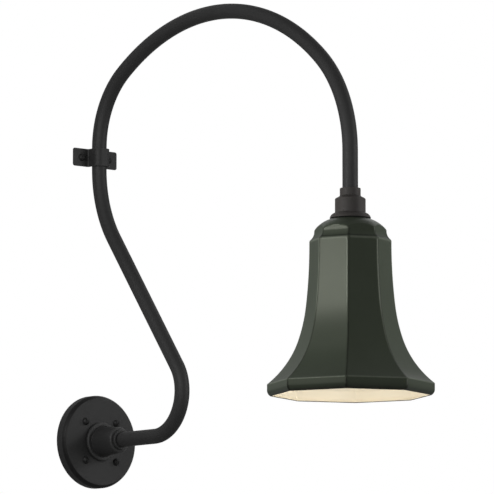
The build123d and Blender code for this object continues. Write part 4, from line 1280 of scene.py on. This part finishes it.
@dataclass
class LampShell:
    """Rolled brass thread inside the porcelain."""

    radius: float = 13.3
    wall: float = 0.45
    low: float = 192.01
    high: float = 213.431
    pitch: float = 3.6
    roll: float = 0.2
    half_sheet: float = 0.12    # half of the rolled sheet's thickness
    rows: int = 73
    segments: int = 96

    def build(self) -> None:
        """Makes the threaded shell."""
        piece("screw_shell", [self.shell()], ["brass"], Body.ARM)

    def shell(self) -> Skin:
        """Thin wall with a rolled thread: radius + roll sin(2 pi z / pitch - p), fading at both ends.

        Returns:
            A closed skin.
        """
        p = ring(self.segments)
        z = np.linspace(self.low, self.high, self.rows)[:, None]
        fade = np.clip(np.minimum(z - self.low, self.high - z) / self.pitch, 0.0, 1.0)
        wave = self.roll * fade * np.sin(2 * np.pi * z / self.pitch - p)
        middle = self.radius + self.wall / 2
        radius = np.concatenate([middle + self.half_sheet + wave, (middle - self.half_sheet + wave)[::-1]])
        return Skin(upright(radius, p, np.concatenate([z, z[::-1]])), np.zeros(radius.shape))


# Studio


def outward(around: float, above: float) -> tuple[Array, Array, Array]:
    """Right, up and back directions of something that faces the centre from a side.

    Args:
        around: Direction in the level plane, in degrees from +X.
        above: Angle over the level plane.

    Returns:
        The three directions.
    """
    a, e = math.radians(around), math.radians(above)
    back = np.array([math.cos(a) * math.cos(e), math.sin(a) * math.cos(e), math.sin(e)])
    right = np.array([-math.sin(a), math.cos(a), 0.0])
    return right, np.cross(back, right), back


def stand(right: Array, up: Array, back: Array, place: Array) -> Matrix:
    """Matrix of a camera or light that looks away from back, with its place in metres."""
    turn = np.stack([right, up, back, place], axis=1)
    return Matrix([*turn.tolist(), [0.0, 0.0, 0.0, 1.0]])


def card(name: str, centre: Array | Place, aside: Array, upward: Array, size: tuple[float, float],
         material: bpy.types.Material) -> bpy.types.Object:
    """Flat card.

    Args:
        name: Name of the object.
        centre: Its middle.
        aside: Direction of its width.
        upward: Direction of its height.
        size: Width and height.
        material: Its finish.

    Returns:
        The card.
    """
    corners = np.array([[-1, -1], [1, -1], [1, 1], [-1, 1]]) * np.array(size) / 2
    points = np.array(centre) + corners[:, :1] * aside + corners[:, 1:] * upward
    mesh = bpy.data.meshes.new(name)
    mesh.from_pydata(points.tolist(), [], [(0, 1, 2, 3)])
    mesh.materials.append(material)
    return show(name, mesh)


@dataclass(frozen=True)
class Aimed:
    """Something in the studio that faces a place.

    Args:
        name: Its name.
        around: Direction that it stands in, in the level plane, in degrees from +X.
        above: Angle over the level plane.
        distance: Distance from the place that it faces.
        target: The place that it faces.
    """

    name: str
    around: float
    above: float
    distance: float
    target: Place = field(default=(0.0, -0.4, 0.2), kw_only=True)

    def stance(self) -> tuple[Array, Array, Array, Array]:
        """Its right, up and back directions and its place."""
        right, up, back = outward(self.around, self.above)
        return right, up, back, np.array(self.target) + self.distance * back

    def hang(self, lamp: bpy.types.Light, mirrored: bool) -> None:
        """Adds a lamp that the camera doesn't see.

        Args:
            lamp: The lamp's data.
            mirrored: Whether glossy surfaces show it.
        """
        thing = show(self.name, lamp)
        thing.matrix_world = stand(*self.stance())
        thing.visible_camera = False
        thing.visible_glossy = mirrored


@dataclass(frozen=True)
class Softbox(Aimed):
    """Soft rectangular light.

    Args:
        size: Width and height.
        power: Power in watts.
        mirrored: Whether glossy surfaces show it.
    """

    size: tuple[float, float]
    power: float
    mirrored: bool = True

    def build(self) -> None:
        """Adds the light."""
        lamp = bpy.data.lights.new(self.name, "AREA")
        lamp.shape = "RECTANGLE"
        lamp.size, lamp.size_y = self.size
        lamp.energy = self.power
        self.hang(lamp, self.mirrored)


@dataclass(frozen=True)
class Snoot(Aimed):
    """Soft round light in a cone, or all round where the cone is 180 degrees.

    Args:
        cone: Full angle of the cone.
        radius: Radius of the lamp.
        power: Power in watts.
        blend: Share of the cone that fades.
    """

    cone: float
    radius: float
    power: float
    blend: float = 0.6

    def build(self) -> None:
        """Adds the light."""
        narrow = self.cone < 180.0
        lamp = bpy.data.lights.new(self.name, "SPOT" if narrow else "POINT")
        lamp.energy = self.power
        lamp.shadow_soft_size = self.radius
        if narrow:
            lamp.spot_size = math.radians(self.cone)
            lamp.spot_blend = self.blend
        self.hang(lamp, False)


@dataclass(frozen=True)
class Flag(Aimed):
    """Grey card that only glossy surfaces see, in place of the white room.

    Args:
        size: Width and height.
        grey: Its brightness, where the room is 1.
    """

    size: tuple[float, float]
    grey: float

    def build(self) -> None:
        """Adds the card."""
        made = bpy.data.materials.new(self.name)
        made.use_nodes = True
        made.node_tree.nodes.clear()
        sheet = Sheet(made.node_tree)
        glow = sheet.add("ShaderNodeEmission", Color=WHITE, Strength=self.grey)
        sheet.add("ShaderNodeOutputMaterial", glow.outputs[0])
        right, up, _, place = self.stance()
        thing = card(self.name, place, -right, up, self.size, made)
        thing.visible_camera = thing.visible_diffuse = thing.visible_shadow = False
        thing.visible_transmission = thing.visible_volume_scatter = False


SHADE_MIDDLE = (0.0, -0.5334, 0.15)


@dataclass
class Studio:
    """Camera, white background, pale floor and soft light."""

    azimuth: float = -40.2
    elevation: float = -7.1746
    focal: float = 4500.0           # in pixels of the photograph
    sensor: float = 36.0
    far: float = 100.0              # metres that the camera sees
    anchor: Place = (0.0, -11.4, 0.0)
    anchor_pixel: tuple[float, float] = (98.3, 442.0)
    anchor_depth: float = 6165.0
    floor_middle: Place = (0.0, -0.3, -1.2)
    floor_side: float = 12.0
    floor_colour: tuple[float, float, float, float] = (0.86, 0.86, 0.85, 1.0)
    floor_roughness: float = 0.9
    floor_specular: float = 0.1
    floor_glow: float = 0.6         # what camera, mirror and glass rays see besides the light on it
    ambient: float = 0.3
    lights: tuple[Aimed, ...] = (
        Softbox("Key", 176.0, 0.0, 1.1, (0.7, 0.12), 5.2, target=(0.0, -0.533, 0.425)),
        Softbox("Fill", 305.0, 10.0, 2.6, (1.2, 1.2), 12.0),
        Softbox("Right", 350.0, 10.0, 2.6, (0.8, 0.8), 6.0, mirrored=False),
        Snoot("Mouth", 0.0, -90.0, 0.13, 180.0, 0.02, 0.175, target=SHADE_MIDDLE),
        Snoot("Shade left", 135.0, 0.0, 2.6, 12.0, 0.15, 220.0, target=SHADE_MIDDLE),
        Snoot("Shade right", 345.0, 0.0, 2.6, 12.0, 0.15, 270.0, target=SHADE_MIDDLE),
        Snoot("Plate left", 175.0, 12.0, 2.0, 9.0, 0.15, 15.0, target=(0.0, -0.03, 0.0)),
        Snoot("Plate right", 335.0, 25.0, 2.0, 9.0, 0.15, 130.0, target=(0.0, -0.02, 0.0)),
        Flag("Front card", 223.0, 5.0, 2.4, (0.6, 2.0), 2.5),
        Flag("Front flag", 262.0, 12.0, 3.0, (2.6, 6.5), 0.11),
        Flag("Left flag", 175.0, 5.0, 3.4, (5.0, 4.0), 0.02),
        Flag("Side flag", 0.0, 5.0, 3.4, (4.0, 4.0), 0.2),
        Flag("Back flag", 90.0, 5.0, 3.4, (5.0, 4.0), 0.26),
        Flag("Top flag", 90.0, 85.0, 3.0, (5.0, 5.0), 0.24),
        Flag("Low flag", 90.0, -85.0, 1.15, (6.0, 6.0), 0.2),
    )

    def build(self) -> None:
        """Makes the camera, the world, the floor and the lights."""
        bpy.context.scene.view_settings.view_transform = "Standard"
        self.camera()
        self.world()
        self.ground()
        for light in self.lights:
            light.build()

    def camera(self) -> None:
        """Makes the scene's camera, at the place where the anchor falls on its pixel at its depth."""
        right, up, back = outward(self.azimuth - 90.0, self.elevation)
        aside, down = ((pixel - IMAGE_SIDE / 2) / self.focal for pixel in self.anchor_pixel)
        place = np.array(self.anchor) + self.anchor_depth * (back - aside * right + down * up)
        data = bpy.data.cameras.new("Camera")
        data.sensor_width = self.sensor
        data.lens = self.focal * self.sensor / IMAGE_SIDE
        data.clip_end = self.far
        thing = show("Camera", data)
        thing.matrix_world = stand(right, up, back, place * MM)
        bpy.context.scene.camera = thing

    def world(self) -> None:
        """White for camera, mirror and glass rays, and a plain level of light for the rest."""
        world = bpy.data.worlds.new("White room")
        bpy.context.scene.world = world
        world.use_nodes = True
        world.node_tree.nodes.clear()
        sheet = Sheet(world.node_tree)
        white = sheet.add("ShaderNodeBackground", Color=WHITE, Strength=1.0)
        light = sheet.add("ShaderNodeBackground", Color=WHITE, Strength=self.ambient)
        pick = sheet.add("ShaderNodeMixShader", sheet.seen(), light.outputs[0], white.outputs[0])
        sheet.add("ShaderNodeOutputWorld", pick.outputs[0])

    def ground(self) -> None:
        """Pale floor under the light, clear from below so that low views see past it."""
        made = bpy.data.materials.new("Pale floor")
        made.use_nodes = True
        sheet = Sheet(made.node_tree)
        shader = sheet.fill(made.node_tree.nodes["Principled BSDF"], Base_Color=self.floor_colour,
                            Roughness=self.floor_roughness, Specular_IOR_Level=self.floor_specular)
        bright = sheet.add("ShaderNodeMath", sheet.seen(), self.floor_glow, operation="MULTIPLY")
        glow = sheet.add("ShaderNodeEmission", Color=WHITE, Strength=bright.outputs["Value"])
        pale = sheet.add("ShaderNodeAddShader", shader.outputs[0], glow.outputs[0])
        below = sheet.add("ShaderNodeNewGeometry").outputs["Backfacing"]
        clear = sheet.add("ShaderNodeBsdfTransparent")
        pick = sheet.add("ShaderNodeMixShader", below, pale.outputs[0], clear.outputs[0])
        sheet.feed(made.node_tree.nodes["Material Output"].inputs["Surface"], pick.outputs[0])
        along_x, along_y, _ = np.eye(3)
        card("Floor", self.floor_middle, along_x, along_y, (self.floor_side,) * 2, made)


def dress_nodes() -> None:
    """Gives every CAD node that stays its procedural finish."""
    for key, names in NODES_OF_FINISH.items():
        for name in names:
            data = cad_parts[name].data
            data.materials.clear()
            data.materials.append(finish(key))
            log.info("%s: %s", name, key)


def main() -> None:
    """Builds the finishes, the pieces and the studio in order."""
    logging.basicConfig(level=logging.INFO, format="%(name)s: %(message)s")
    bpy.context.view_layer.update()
    grain_group()
    wear_and_light_group()
    for made in FINISHES:
        made.material()
    dress_nodes()
    for assembly in (WallPlate(), Gooseneck(), BellShade(), LampShell(), Studio()):
        assembly.build()
        log.info("%s built", type(assembly).__name__)


if __name__ == "__main__":
    main()
